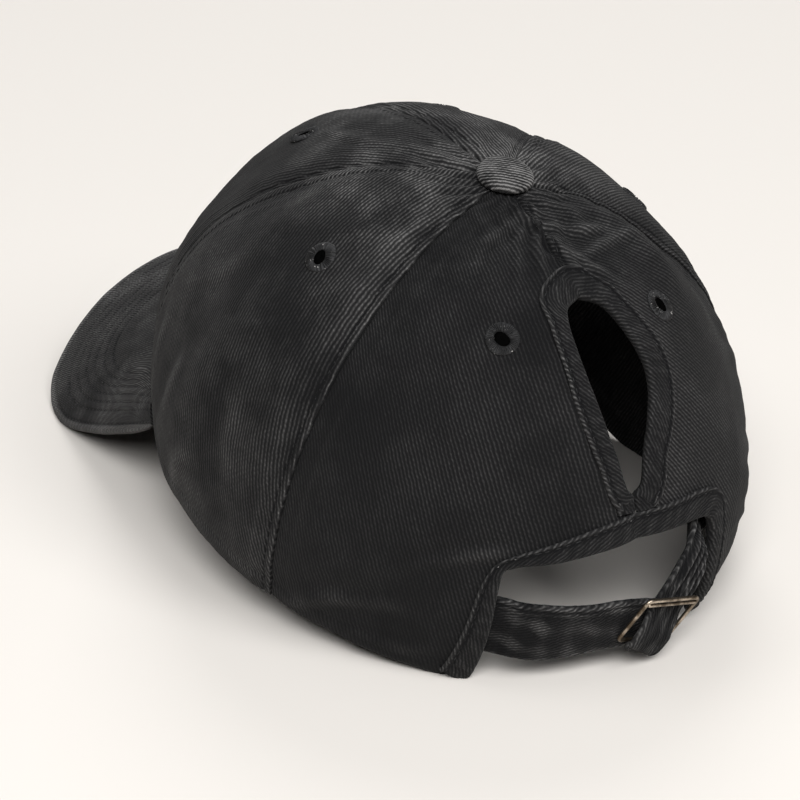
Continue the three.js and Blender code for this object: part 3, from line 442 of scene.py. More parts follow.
# Adds a half round to the first row of a wall's grids.
def roundedRim(outer, inner, extra):
    middle = (outer + inner) / 2
    half = (outer - inner)[:, 0] / 2
    ahead = unit(middle[:, 0] - middle[:, 2]) * np.linalg.norm(half, axis=-1, keepdims=True)
    sides = []
    for sign in (1, -1):
        rows = [middle[:, 0] + sign * half * math.cos(t) + ahead * math.sin(t) for t in (1.25, 0.65)]
        sides.append(np.stack(rows, axis=1))
    grown = [np.concatenate([np.repeat(e[:, :1], 2, axis=1), e], axis=1) for e in extra]
    return (np.concatenate([sides[0], outer], axis=1), np.concatenate([sides[1], inner], axis=1), *grown)


# Smooth curve through rows with the spacing of a centripetal Catmull-Rom spline.
def throughRows(rows, t):
    points = np.asarray(rows, float)
    points = np.concatenate([[2 * points[0] - points[1]], points, [2 * points[-1] - points[-2]]])
    last = len(points) - 4
    place = np.clip(t, 0, 1) * (last + 1)
    first = np.minimum(place.astype(int), last)
    w = (place - first)[:, None]
    p0, p1, p2, p3 = (points[first + k] for k in range(4))
    gaps = [np.maximum(np.sum((b - a) ** 2, axis=1, keepdims=True) ** 0.25, 1e-4)
            for a, b in ((p0, p1), (p1, p2), (p2, p3))]
    d0, d1, d2 = gaps
    m1 = ((p1 - p0) / d0 - (p2 - p0) / (d0 + d1) + (p2 - p1) / d1) * d1
    m2 = ((p2 - p1) / d1 - (p3 - p1) / (d1 + d2) + (p3 - p2) / d2) * d1
    return p1 + m1 * w + (-3 * p1 + 3 * p2 - 2 * m1 - m2) * w ** 2 + (2 * p1 - 2 * p2 + m1 + m2) * w ** 3


# The same curve at even distances.
def evenRows(rows, steps):
    dense = throughRows(rows, np.linspace(0, 1, 600))
    lengths = runningLength(dense)
    return placesAlong(np.linspace(0, lengths[-1], steps + 1), lengths, dense)


# Panels

panels = {
    "columns": 128, "rows": 150, "gap": 0.06, "edgeSteps": (60, 8, 64, 34),
    "ribTurn": {"front": 12.0, "side": 22.0, "back": 25.0},
}


# Positions from 0 to 1, closer together at both ends.
def crowded(count):
    even = np.linspace(0, 1, count + 1)
    return even - 0.11 * np.sin(2 * math.pi * even)


# Flat cloth coordinates of a place on a panel, turned so that x runs across the twill's ribs:
# the run round the cap from the panel's middle and the run up its middle line.
def weaveAt(angle, share, middle, ribTurn):
    shares = np.linspace(0, 1, 201)
    lengths = runningLength(domePoint(np.full(201, middle), shares))
    return turnedWeave(arcFrom(angle, middle, share), np.interp(share, shares, lengths), ribTurn)


# One cloth panel: two walls at half the cloth's thickness from the middle surface.
def panelPiece(name, angle, share, middle, ribTurn):
    half = crown["cloth"] / 2
    outer, inner = clothPoint(angle, share, half), clothPoint(angle, share, -half)
    weave = weaveAt(angle, share, middle, ribTurn)
    wear = fineRelief(angle, share)[1]
    outer, inner, weave, wear = roundedRim(outer, inner, (weave, wear))
    piece = wallMesh(name, settle(outer), settle(inner), weave, wear)
    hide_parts(name.replace("cloth", "crown_panel"))
    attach(piece, "root")
    return piece


# A front or side panel between its two seams, with columns crowded near them.
def sidePanel(place, side, ribTurn):
    sign = 1 if side == "left" else -1
    ends = {"front": (0, frontSeam), "side": (frontSeam, rearSeam)}[place]
    start, end = sorted(sign * e * degree for e in ends)
    share = np.linspace(0, topShare, panels["rows"] + 1)[None, :]
    inset = panels["gap"] / 2 / (crown["halfWidth"] * domeReach(start, share))
    across = crowded(panels["columns"])[:, None]
    angle = (start + inset) + (end - start - 2 * inset) * across
    share = np.repeat(share, len(across), axis=0)
    return panelPiece(f"cloth_{place}_{side}", angle, share, (start + end) / 2, ribTurn)


# Cut edges of the back panels

opening = {"start": 60.8, "length": 58.6, "halfWidth": 11.0, "strip": 8.6}
arch = {"height": 48.5, "halfWidth": 38.0, "strip": 9.0}
foldSetback = crown["stripClearance"] + crown["strip"]
slitHalf = foldSetback + 0.15

# x, up and strip width as shares of the arch's half width, height and strip
archEdge = {
    "left": [(1.03, 0, 0.85), (1.02, 0.35, 0.7), (1.0, 0.72, 0.42), (0.965, 0.83, 0.24),
             (0.88, 0.87, 0.3), (0.6, 0.915, 0.56), (0.3, 0.965, 0.7), (0, 1, 0.75)],
    "right": [(0.8, 0, 0.5), (0.79, 0.4, 0.5), (0.77, 0.8, 0.62), (0.72, 0.92, 0.86),
              (0.61, 0.965, 0.84), (0.4, 0.99, 0.78), (0.2, 1.0, 0.76), (0, 1, 0.75)],
}

# up, left and right, and the strip's width on the left and on the right, as shares of the
# opening's sizes; the last row is its crest
openingEdge = [
    (0.039, 0.2, 0.25, 0.62, 0.68), (0.184, 0.37, 0.45, 0.63, 0.7), (0.339, 0.52, 0.8, 0.66, 0.8),
    (0.485, 0.62, 1.08, 0.645, 0.78), (0.62, 0.68, 1.1, 0.55, 0.78), (0.766, 0.69, 0.89, 0.53, 0.68),
    (0.88, 0.62, 0.66, 0.6, 0.6), (0.955, 0.44, 0.42, 0.95, 0.7), (1, 0, 0, 1.06, 1.06),
]


# Angle and share of a place at x from the back's centre line and a length up the cloth, by
# repeated correction of the angle for the dome's reach.
def backPlace(x, up):
    share = np.interp(up, backLengths, climbShares)
    angle = np.full(np.shape(x), math.pi)
    for _ in range(5):
        sine = np.abs(x) / (crown["halfWidth"] * domeReach(angle, share))
        angle = math.pi - np.arcsin(np.minimum(sine, 0.99))
    return np.where(x < 0, 2 * math.pi - angle, angle), share


# A back panel's cut edge as rows of angle, share and strip width: the arch, the slit above it,
# the teardrop opening and the seam up to the top.
def cutEdge(side, steps):
    sign = 1 if side == "left" else -1
    column = 1 if side == "left" else 2
    rows = []
    for x, up, strip in archEdge[side]:
        rows.append((x * arch["halfWidth"] + foldSetback * min(1, (1.02 - up) * 6),
                     up * arch["height"] + foldSetback * up ** 2, strip * arch["strip"]))
    archRows = evenRows(rows, steps[0])
    archRows[-1, 0] = slitHalf
    lowStrip = openingEdge[0][column + 2] * opening["strip"]
    ups = np.linspace(arch["height"] + foldSetback, opening["start"], steps[1] + 2)[1:-1]
    slitRows = np.stack([np.full(len(ups), slitHalf), ups, np.full(len(ups), lowStrip)], axis=1)
    rows = [(slitHalf, opening["start"], lowStrip)]
    for row in openingEdge[:-1]:
        rows.append((row[column] * opening["halfWidth"] + foldSetback,
                     opening["start"] + row[0] * opening["length"], row[column + 2] * opening["strip"]))
    crest = opening["start"] + opening["length"] + foldSetback
    rows.append((0.15, crest, openingEdge[-1][3] * opening["strip"]))
    openingRows = evenRows(rows, steps[2])
    ups = np.linspace(crest, backLengths[-1] - crown["topHole"], steps[3] + 1)[1:]
    seamRows = np.stack([np.full(len(ups), panels["gap"] / 2), ups, np.zeros(len(ups))], axis=1)
    parts = {}
    for key, found in (("arch", archRows), ("slit", slitRows), ("opening", openingRows), ("seam", seamRows)):
        angle, share = backPlace(sign * found[:, 0], found[:, 1])
        parts[key] = np.stack([angle, share, found[:, 2]], axis=1)
    return parts


# A back panel, ruled from its side seam to its cut edge.
def backPanel(side, ribTurn):
    sign = 1 if side == "left" else -1
    parts = cutEdge(side, panels["edgeSteps"])
    edge = np.concatenate([parts[key] for key in ("arch", "slit", "opening", "seam")])
    reached = runningLength(domePoint(edge[:, 0], edge[:, 1]))
    seamShare = topShare * reached / reached[-1]
    inset = panels["gap"] / 2 / (crown["halfWidth"] * domeReach(rearSeam * degree, seamShare))
    start = rearSeam * degree + inset if side == "left" else 2 * math.pi - rearSeam * degree - inset
    across = crowded(panels["columns"])[:, None]
    angle = start + (edge[:, 0] - start) * across
    share = seamShare + (edge[:, 1] - seamShare) * across
    return panelPiece(f"cloth_back_{side}", angle, share, sign * (rearSeam + 180) / 2 * degree, ribTurn)


panelPieces = []
for side in ("left", "right"):
    for place in ("front", "side"):
        panelPieces.append(sidePanel(place, side, panels["ribTurn"][place]))
    panelPieces.append(backPanel(side, panels["ribTurn"]["back"]))
print("panels made")


# Strips folded over the cut edges

strips = {
    "innerLip": 0.75, "bead": 0.2, "beadPlace": 0.5, "groove": 0.26, "groovePlace": 1.6, "cushion": 0.14,
    "pucker": 0.13, "puckerLength": 5.2, "fullWidth": 5.5, "edgeSteps": (110, 6, 110, 4),
    "archRibTurn": 24.0, "openingRibTurn": 38.0,
}


# Changes of angle and share for a millimetre along a direction in the dome's surface, from the
# two tangents and their products.
def surfaceStep(angle, share, direction, step=0.002):
    here = domePoint(angle, share)
    around = (domePoint(angle + step, share) - here) / step
    rise = (domePoint(angle, share + step) - here) / step
    mixed = dot(around, rise)
    area = dot(around, around) * dot(rise, rise) - mixed ** 2
    a, b = dot(around, direction), dot(rise, direction)
    return (a * dot(rise, rise) - b * mixed) / area, (b * dot(around, around) - a * mixed) / area


# Where a strip's path lies and how angle and share change across it.
def stripFrame(path):
    points = domePoint(path[:, 0], path[:, 1])
    along = np.gradient(points, axis=0)
    normal = surfaceNormal(domePoint, path[:, 0], path[:, 1])
    across = unit(np.cross(normal, along))
    perAngle, perShare = surfaceStep(path[:, 0], path[:, 1], across)
    return perAngle, perShare, runningLength(points)


# A profile carried along the path: a lip with a raised, stitched edge outside, a fold round
# the cut edge and a flat lip inside.
def stripPiece(name, node, path, ribTurn, seed):
    under = crown["cloth"] / 2 + crown["stripClearance"]
    over = under + crown["strip"]
    perAngle, perShare, run = stripFrame(path)
    width = path[:, 2][:, None]
    lip = np.linspace(0, 1, 9)[1:] * strips["innerLip"]
    reach = np.concatenate([1 - np.linspace(0, 1, 20) ** 1.25, np.zeros(7), lip])[None, :]
    bend = np.concatenate([np.zeros(20), np.linspace(0, math.pi, 9)[1:-1], np.full(8, math.pi)])[None, :]
    outside = (bend == 0).astype(float)
    fromEdge = (1 - reach) * width
    squeeze = np.minimum(1, width / strips["fullWidth"])
    bead, groove = strips["beadPlace"] * squeeze, strips["groovePlace"] * squeeze
    alongRun = run[:, None]
    raised = strips["bead"] * hump(fromEdge - bead, 0.5 * squeeze)
    sunk = strips["groove"] * hump(fromEdge - groove, 0.4 * squeeze)
    edge = 0.45 * hump(fromEdge, 0.3)
    inward = np.clip((fromEdge - 2.3) / np.maximum(width - 2.3, 0.5), 0, 1)
    cushion = strips["cushion"] * np.sin(math.pi * inward)
    wobble = waves(alongRun, fromEdge, 16, seed)
    pull = np.sin(2 * math.pi * (alongRun + 0.45 * fromEdge + 1.6 * wobble) / strips["puckerLength"])
    amount = strips["pucker"] * np.clip(0.55 + 0.6 * waves(alongRun, 0 * fromEdge, 30, seed + 1), 0.1, 1.2)
    top = over + outside * (raised - sunk - edge + cushion + amount * pull * smooth(fromEdge, 1.5, 3.0))
    top = top + outside * 0.07 * waves(alongRun, fromEdge, 3.0, seed + 2)
    distance = reach * width - foldSetback * np.sin(bend)
    lift = top * np.cos(bend) * np.ones_like(width)
    insideDistance = reach * width - crown["stripClearance"] * np.sin(bend)
    insideLift = under * np.cos(bend) * np.ones_like(width)

    def placed(away, rise):
        share = np.maximum(path[:, 1][:, None] + perShare[:, None] * away, 0)
        return settle(clothPoint(path[:, 0][:, None] + perAngle[:, None] * away, share, rise, 0.5))

    weave = turnedWeave(fromEdge + foldSetback * bend, alongRun + 0 * fromEdge, ribTurn)
    twist = 0.65 + 0.3 * np.sin(2 * math.pi * (alongRun + fromEdge) / 1.5)
    # The bead and the fold are lighter where they rub; the stitched groove is darker as painted shade.
    wear = 0.85 * twist * hump(fromEdge - 0.8 * bead, 0.42) - 0.8 * hump(fromEdge - groove, 0.4)
    wear = outside * (wear + 0.15 * np.clip(pull, 0, 1) * smooth(fromEdge, 1.5, 3.0))
    wear = wear + 0.3 * hump(bend - 0.9, 0.6)
    piece = wallMesh(name, placed(distance, lift), placed(insideDistance, insideLift), weave, wear)
    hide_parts(node)
    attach(piece, "root")
    return piece


fineEdges = {side: cutEdge(side, strips["edgeSteps"]) for side in ("left", "right")}
archPath = np.concatenate([fineEdges["left"]["arch"], fineEdges["right"]["arch"][-2::-1]])
archTop = arch["height"] + foldSetback + archEdge["left"][-1][2] * arch["strip"] + crown["clearance"]
legs = []
for side, sign in (("left", 1), ("right", -1)):
    lowStrip = openingEdge[0][3 if side == "left" else 4] * opening["strip"]
    ups = np.linspace(archTop, opening["start"], 9)[:-1]
    angle, share = backPlace(np.full(8, sign * slitHalf), ups)
    leg = np.stack([angle, share, np.full(8, lowStrip)], axis=1)
    legs.append(np.concatenate([leg, fineEdges[side]["opening"]]))
legs[0][-1, 0] = math.pi
openingPath = np.concatenate([legs[0], legs[1][-2::-1]])
archStrip = stripPiece("folded_strip_arch", "arch_binding", archPath, strips["archRibTurn"], 41)
openingStrip = stripPiece("folded_strip_opening", "ponytail_binding", openingPath,
                          strips["openingRibTurn"], 51)
print("strips made")


# Visor

visor = {
    "halfWidth": 70.7, "reach": 53.0, "setback": 38.7, "thickness": 3.2, "crest": 16.5, "droop": 56.0,
    "slope": 0.614, "camber": 1.6, "seamShare": 0.012, "columns": 220, "rows": 84,
    "sidePower": 0.7, "aheadPower": 0.483, "tail": 0.51, "tailEnd": 0.92,
    "ribTurn": 20.0, "edgeRoll": 2.4, "edgeGroove": 0.4, "groove": 0.3, "grooveWidth": 0.5,
    "rowInsets": (9.0, 13.4, 17.8, 22.2, 26.6, 31.0), "softness": 0.1, "softLength": 24,
}


# Where the visor meets the crown: just outside the cloth, a little above the rim.
def visorSeam(angle):
    seam = np.full(np.shape(angle), visor["seamShare"])
    normal = surfaceNormal(crownPoint, angle, seam)
    return crownPoint(angle, seam) + normal * (crown["cloth"] / 2 + crown["clearance"]), normal


# Free edge of the visor: powers of sine and cosine seen from above, drooping by a power of its
# width, with tails drawn to the ends of its seam.
def visorEdge(count):
    around = np.linspace(-1, 1, 1201) * math.pi / 2
    x = np.sign(around) * np.abs(np.sin(around)) ** visor["sidePower"]
    ahead = np.maximum(np.cos(around), 0) ** visor["aheadPower"]
    y = -(crown["halfLength"] - visor["setback"] + (visor["setback"] + visor["reach"]) * ahead)
    droop = visor["droop"] * np.abs(x) ** 2.08
    pushed = np.maximum(-x, 0) * 2 * visor["halfWidth"] * math.sin(-rest["lean"] * degree) * np.abs(x)
    z = visor["crest"] - droop - visor["slope"] * (-y - crown["halfLength"]) + pushed
    dense = np.stack([x * visor["halfWidth"], y, z], axis=1)
    ends = visorSeam(np.sign(around) * crown["visorHalfAngle"] * degree)[0]
    tail = visor["tailEnd"] * smooth(visor["tail"] - ahead, 0, visor["tail"])[:, None]
    dense = dense * (1 - tail) + ends * tail
    lengths = runningLength(dense)
    return placesAlong(np.linspace(0, lengths[-1], count + 1), lengths, dense)


# Middle surface of the visor between the rim and its free edge, with a camber.
def visorGrid():
    edge = visorEdge(visor["columns"])
    angle = np.linspace(-1, 1, visor["columns"] + 1) * crown["visorHalfAngle"] * degree
    inner, normal = visorSeam(angle)
    span = np.linalg.norm(edge - inner, axis=1)
    t = np.linspace(0, 1, visor["rows"] + 1)[None, :, None]
    t = t + 0.05 * np.sin(2 * math.pi * t) / 2
    grid = inner[:, None] * (1 - t) + edge[:, None] * t
    camber = visor["camber"] * np.minimum(1, 2 * span / visor["reach"])[:, None]
    grid[..., 2] += camber * np.sin(math.pi * t[..., 0])
    along = np.gradient(grid, axis=1)
    across = np.gradient(grid, axis=0)
    up = unit(np.cross(along, across))
    if up[..., 2].mean() < 0:
        up = -up
    return grid, up, normal, t[0, :, 0], span


visorMiddle, visorUp, visorCrown, visorSteps, visorSpan = visorGrid()
visorFromEdge = (1 - visorSteps)[None, :] * visorSpan[:, None]
visorAround = np.cumsum(np.linalg.norm(np.gradient(visorMiddle, axis=0), axis=-1), axis=0)


# Grooves of the stitch rows beside the free edge, under soft waves; wear is lighter where the edge rubs and
# darker in the grooves as painted shade.
def visorRelief():
    rolled = hump(visorFromEdge - visor["edgeRoll"], visor["grooveWidth"])
    height = -visor["edgeGroove"] * rolled
    # Lighter where the free edge rubs; darker in the grooves as painted shade.
    wear = 0.9 * hump(visorFromEdge - 0.6, 1.3) - 0.5 * rolled
    for inset in visor["rowInsets"]:
        height -= visor["groove"] * hump(visorFromEdge - inset, visor["grooveWidth"])
        wear -= 0.6 * hump(visorFromEdge - inset, 0.45)
    height += visor["softness"] * waves(visorAround, visorFromEdge, visor["softLength"], 61)
    height += 0.04 * waves(visorAround, visorFromEdge, 9, 62)
    height *= np.minimum(1, visorSpan / 12)[:, None]
    return height, wear


# Two walls at half the thickness from the visor's middle surface, thinner at its short tails
# and kept out of the crown near the seam.
def visorPiece():
    height, wear = visorRelief()
    half = visor["thickness"] / 2
    weave = turnedWeave(visorAround - visorAround[len(visorAround) // 2], visorFromEdge, visor["ribTurn"])
    thinned = np.minimum(1, 0.4 + visorSpan / visor["reach"] * 2.5)[:, None]
    near = np.linalg.norm(visorMiddle - visorMiddle[:, :1], axis=-1) < visor["thickness"]
    walls = []
    for sign, rise in ((1, thinned * (half + height)), (-1, thinned * (half + 0.6 * height))):
        into = np.maximum(0, -sign * dot(visorUp, visorCrown[:, None])) * near
        walls.append(visorMiddle + (sign * visorUp + visorCrown[:, None] * into[..., None]) * rise[..., None])
    outer, inner = walls
    outer, inner, weave, wear = (a[:, ::-1] for a in (outer, inner, weave, wear))
    outer, inner, weave, wear = roundedRim(outer, inner, (weave, wear))
    piece = wallMesh("curved_visor", settle(outer), settle(inner), weave, wear)
    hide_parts("visor")
    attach(piece, "root")
    return piece


visorShell = visorPiece()
print("visor made")


# Strap, tab and buckle

# Rows of stitches on the strap: distance from its edge, width and depth of the groove
strap = {
    "width": 20.0, "thickness": 2.4, "ribTurn": 68.0, "steps": 220, "pucker": 0.12, "puckerLength": 4.6,
    "topRows": ((1.7, 0.45, 0.28), (3.6, 0.4, 0.24)), "bottomRow": (1.6, 0.45, 0.2),
}
tab = {
    "width": 16.0, "length": 50.0, "thickness": 2.2, "ripple": 0.95, "ridges": 3.5, "ribTurn": 20.0,
    "steps": 190,
}
buckle = {
    "width": 21.0, "height": 16.5, "corner": 1.6, "wire": 1.25, "tilt": 16.0, "swing": 14.0,
    "x": -0.21, "z": 0.51, "out": 1.34,
}

# x, up, half width and out, as shares of the arch's half width, the strap's width and thickness
strapRoute = np.array([
    (1.2, 1.16, 0.5, -1.56), (1.0, 1.14, 0.53, -1.5), (0.87, 1.17, 0.51, -0.75), (0.7, 1.2, 0.5, -0.1),
    (0.52, 1.21, 0.47, 0), (0.35, 1.23, 0.44, 0), (0.18, 1.25, 0.42, 0), (0.02, 1.22, 0.42, -0.1),
    (-0.14, 1.16, 0.39, -0.25), (-0.3, 1.08, 0.34, -0.45), (-0.44, 1.02, 0.3, -0.6),
])

# x, z, half width, out and gather, as shares of the arch's half width, the tab's length and
# width, the strap's thickness and the tab's ripple
tabRoute = np.array([
    (-0.98, 0.86, 0.3, -2.7, 0), (-0.87, 0.87, 0.33, -2.6, 0.3), (-0.76, 0.855, 0.34, -1.9, 0.8),
    (-0.67, 0.82, 0.34, -0.6, 1), (-0.585, 0.77, 0.35, 0.4, 1), (-0.465, 0.69, 0.4, 0.7, 0.9),
    (-0.345, 0.6, 0.4, 0.86, 0.4), (-0.235, 0.5, 0.48, 1.4, 0.3), (-0.15, 0.415, 0.465, 2.08, 0.2),
    (-0.115, 0.37, 0.44, 2.08, 0.1), (-0.09, 0.34, 0.4, 1.6, 0), (-0.08, 0.325, 0.33, 1.2, 0),
])


# The point at x and z on the back of the dome and a lift outside it: the share follows from
# the height and the angle from the reach, each corrected in turn.
def backPoint(x, z, lift):
    x, z, lift = np.broadcast_arrays(*(np.asarray(v, float) for v in (x, z, lift)))
    angle = np.full(x.shape, math.pi)
    for _ in range(6):
        power = crown["climb"][0] + crown["climb"][1] * np.cos(angle)
        rim = rimHeight(angle)
        climb = np.maximum(0, (z - rim) / (crown["height"] - rim)) ** (1 / power)
        share = np.arcsin(np.minimum(climb, 1)) / (math.pi / 2)
        sine = np.abs(x) / (crown["halfWidth"] * domeReach(angle, share))
        angle = math.pi - np.arcsin(np.minimum(sine, 0.99))
    signed = np.where(x < 0, -angle, angle)
    return domePoint(signed, share) + surfaceNormal(domePoint, signed, share) * lift[..., None]


# A place on a band's route, at rows of x, z and out; lifted by a millimetre for its facing.
def routePoint(row, height, lift=0.0):
    return backPoint(row[:, 0] * arch["halfWidth"], row[:, 1] * height, row[:, 2] * strap["thickness"] + lift)


# One column of a route, smoothly through its rows.
def routeColumn(route, column, t):
    zero = 0 * route[:, 0]
    return throughRows(np.stack([route[:, 0], route[:, column], zero], axis=1), t)[:, 1]


# Cross-section of a flat band: places from edge to edge, and how thick it is there.
def bandSection(count):
    t = np.linspace(0, math.pi, count)
    across = -np.cos(t)
    return across, np.clip(1 - np.abs(across) ** 14, 0, 1) ** 0.5


# A flat band along a line of centres: two walls that close at its long edges.
def bandPiece(name, node, centre, across, normal, thickness, lift, weave, wear):
    count = lift.shape[1]
    places, full = bandSection(count)
    middle = centre[:, None] + across[:, None] * places[None, :, None]
    half = thickness / 2 * full[None, :]
    outer = middle + normal[:, None] * (half + lift)[..., None]
    inner = middle + normal[:, None] * (-half + 0.8 * lift)[..., None]
    piece = wallMesh(name, settle(outer), settle(inner), weave, wear)
    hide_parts(node)
    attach(piece, "root")
    return piece


# The strap: a band through its route, with grooved stitch rows, puckers and soft waves.
def strapPiece():
    t = np.linspace(0, 1, strap["steps"] + 1)
    row = throughRows(strapRoute[:, [0, 1, 3]], t)
    half = routeColumn(strapRoute, 2, t) * strap["width"]
    x, z, out = row[:, 0] * arch["halfWidth"], row[:, 1] * strap["width"], row[:, 2] * strap["thickness"]
    top, bottom, centre = backPoint(x, z + half, out), backPoint(x, z - half, out), backPoint(x, z, out)
    normal = backPoint(x, z, out + 1) - centre
    across = (top - bottom) / 2
    run = runningLength(centre)[:, None]
    places, full = bandSection(44)
    fromTop = (1 - places)[None, :] * half[:, None]
    fromBottom = (1 + places)[None, :] * half[:, None]
    place, width, depth = strap["bottomRow"]
    lift = -depth * hump(fromBottom - place, width)
    for place, width, depth in strap["topRows"]:
        lift = lift - depth * hump(fromTop - place, width)
    pucker = np.sin(2 * math.pi * run / strap["puckerLength"] + 1.5 * waves(run, fromTop, 18, 71))
    lift = lift + strap["pucker"] * pucker * hump(fromTop - 2.6, 2.4)
    lift = lift + 0.16 * waves(run, fromTop, 13, 72) * full + 0.05 * waves(run, fromTop, 2.6, 73)
    twist = 0.5 + 0.5 * np.sin(2 * math.pi * (run + 0.8 * fromTop) / 1.9)
    wear = (0.8 * hump(fromTop - 0.8, 0.8) + 0.6 * hump(fromTop - 2.7, 0.6)) * (0.5 + 0.6 * twist)
    # Painted shade: darker in the groove between the top rows.
    wear = wear + 0.5 * hump(fromBottom - 0.6, 0.8) - 0.5 * hump(fromTop - 1.7, 0.4)
    wear = wear + 0.3 * waves(run, fromTop, 9, 74)
    weave = turnedWeave(run, fromTop, strap["ribTurn"])
    return bandPiece("fabric_strap", "strap", centre, across, normal, strap["thickness"], lift, weave, wear)


# The tab's middle line and the rows of its route.
def tabFrame(t):
    row = throughRows(tabRoute[:, [0, 1, 3]], t)
    return routePoint(row, tab["length"]), row


# The tab: a band through its route, with gathers that are a cosine across its width.
def tabPiece():
    t = np.linspace(0, 1, tab["steps"] + 1)
    centre, row = tabFrame(t)
    along = unit(tabFrame(t + 0.02)[0] - tabFrame(t - 0.02)[0])
    out = routePoint(row, tab["length"], 1.0) - centre
    across = unit(np.cross(along, out))
    normal = unit(np.cross(across, along))
    half = routeColumn(tabRoute, 2, t) * tab["width"]
    gather = routeColumn(tabRoute, 4, t)[:, None]
    run = runningLength(centre)[:, None]
    places, full = bandSection(56)
    x = places[None, :] * half[:, None]
    drift = 0.25 * waves(run, x, 25, 81)
    ridge = np.cos(tab["ridges"] * math.pi * (places[None, :] + drift))
    lift = tab["ripple"] * gather * (ridge * 0.9 - 0.1) + 0.12 * waves(run, x, 9, 82) * full
    lift = lift - 0.22 * hump(np.abs(x) - (half[:, None] - 2.0), 0.4) * (1 - np.clip(gather, 0, 1))
    wear = 0.8 * np.clip(ridge, 0, 1) ** 2 * np.clip(gather * 1.3, 0, 1)
    # Painted shade: darker in the valleys of the gathers.
    wear = wear - 0.4 * np.clip(-ridge, 0, 1) * gather
    wear = wear + 0.55 * hump(half[:, None] - np.abs(x), 1.0) + 0.25 * waves(run, x, 7, 83)
    weave = turnedWeave(x, run, tab["ribTurn"])
    across = across * half[:, None]
    return bandPiece("folded_tab", "strap_tab", centre, across, normal, tab["thickness"], lift, weave, wear)


# The buckle's place: its middle, its long bar's direction, its height and its facing.
def buckleFrame():
    x, z = buckle["x"] * arch["halfWidth"], buckle["z"] * tab["length"]
    out = buckle["out"] * strap["thickness"]
    seat = backPoint(x, z, out)
    facing = backPoint(x, z, out + 1) - seat
    bar = np.array([-math.cos(buckle["tilt"] * degree), 0, -math.sin(buckle["tilt"] * degree)])
    bar = unit(bar - facing * dot(bar, facing))
    swing = buckle["swing"] * degree
    facing = facing * math.cos(swing) + np.cross(bar, facing) * math.sin(swing)
    return seat, bar, np.cross(facing, bar), facing


# A round wire carried round a rounded rectangle, and a straight one beside its top side.
def bucklePieces():
    seat, bar, up, facing = buckleFrame()
    radius = buckle["wire"] / 2
    halfWidth, halfHeight = buckle["width"] / 2 - buckle["corner"], buckle["height"] / 2 - buckle["corner"]
    turns = np.linspace(0, 90, 9) * degree
    corners = ((halfWidth, halfHeight, 0), (-halfWidth, halfHeight, 90),
               (-halfWidth, -halfHeight, 180), (halfWidth, -halfHeight, 270))
    heading = np.concatenate([turns + start * degree for _, _, start in corners])
    middle = np.concatenate([np.tile((x, y), (9, 1)) for x, y, _ in corners])
    away = np.stack([np.cos(heading), np.sin(heading)], axis=1)
    line = middle + away * buckle["corner"]
    round = np.linspace(0, 2 * math.pi, 15)[:-1]
    flat = line[:, None] + away[:, None] * (radius * np.cos(round))[None, :, None]
    depth = np.tile(radius * np.sin(round), (len(line), 1))
    grid = seat + flat[..., :1] * bar + flat[..., 1:] * up + depth[..., None] * facing
    frameWire = ringMesh("wire_frame", grid)
    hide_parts("buckle")
    length = np.concatenate([[-1, -1, -0.985], np.linspace(-0.95, 0.95, 12), [0.985, 1, 1]])
    length = length * (buckle["width"] - buckle["wire"]) / 2
    size = np.concatenate([[0.02, 0.6, 0.9], np.ones(12), [0.9, 0.6, 0.02]]) * radius * 0.8
    height = buckle["height"] / 2 - buckle["wire"] * 1.15
    round = np.linspace(0, 2 * math.pi, 13)[:-1]
    ring = np.stack([np.repeat(length[:, None], 12, axis=1), height + size[:, None] * np.cos(round),
                     buckle["wire"] * 0.35 + size[:, None] * np.sin(round)], axis=-1)
    grid = seat + ring[..., :1] * bar + ring[..., 1:2] * up + ring[..., 2:] * facing
    index = np.arange(grid.shape[0] * 12).reshape(-1, 12)
    index = np.concatenate([index, index[:, :1]], axis=1)
    quads = quadsOf(index)
    ends = [index[e, :12].reshape(-1)[[0, k, k + 1, k + 2]] for e in (0, -1) for k in range(1, 10, 2)]
    caps = np.array([end if i < 5 else end[::-1] for i, end in enumerate(ends)])
    topBar = makeMesh("wire_bar", grid.reshape(-1, 3), np.concatenate([quads, caps[:, ::-1]]))
    for piece in (frameWire, topBar):
        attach(piece, "root")
    return frameWire, topBar


strapBand = strapPiece()
tabBand = tabPiece()
wires = bucklePieces()
print("strap, tab and buckle made")


# Button and eyelets

button = {"diameter": 16.6, "height": 4.8, "ribs": 0.05, "ribPitch": 1.1, "ribTurn": 31.08}
eyelet = {"diameter": 9.8, "hole": 4.2, "thickness": 0.6, "threads": 34}


# Distance from the button's axis and height, as shares of its radius and height
buttonProfile = (
    (0.25, 0), (0.6, 0), (0.86, 0.02), (0.95, 0.08), (0.99, 0.2), (1, 0.34), (0.99, 0.46), (0.96, 0.57),
    (0.9, 0.68), (0.82, 0.77), (0.72, 0.845), (0.6, 0.905), (0.47, 0.945), (0.34, 0.972), (0.2, 0.99),
    (0.08, 0.999), (0.015, 1),
)


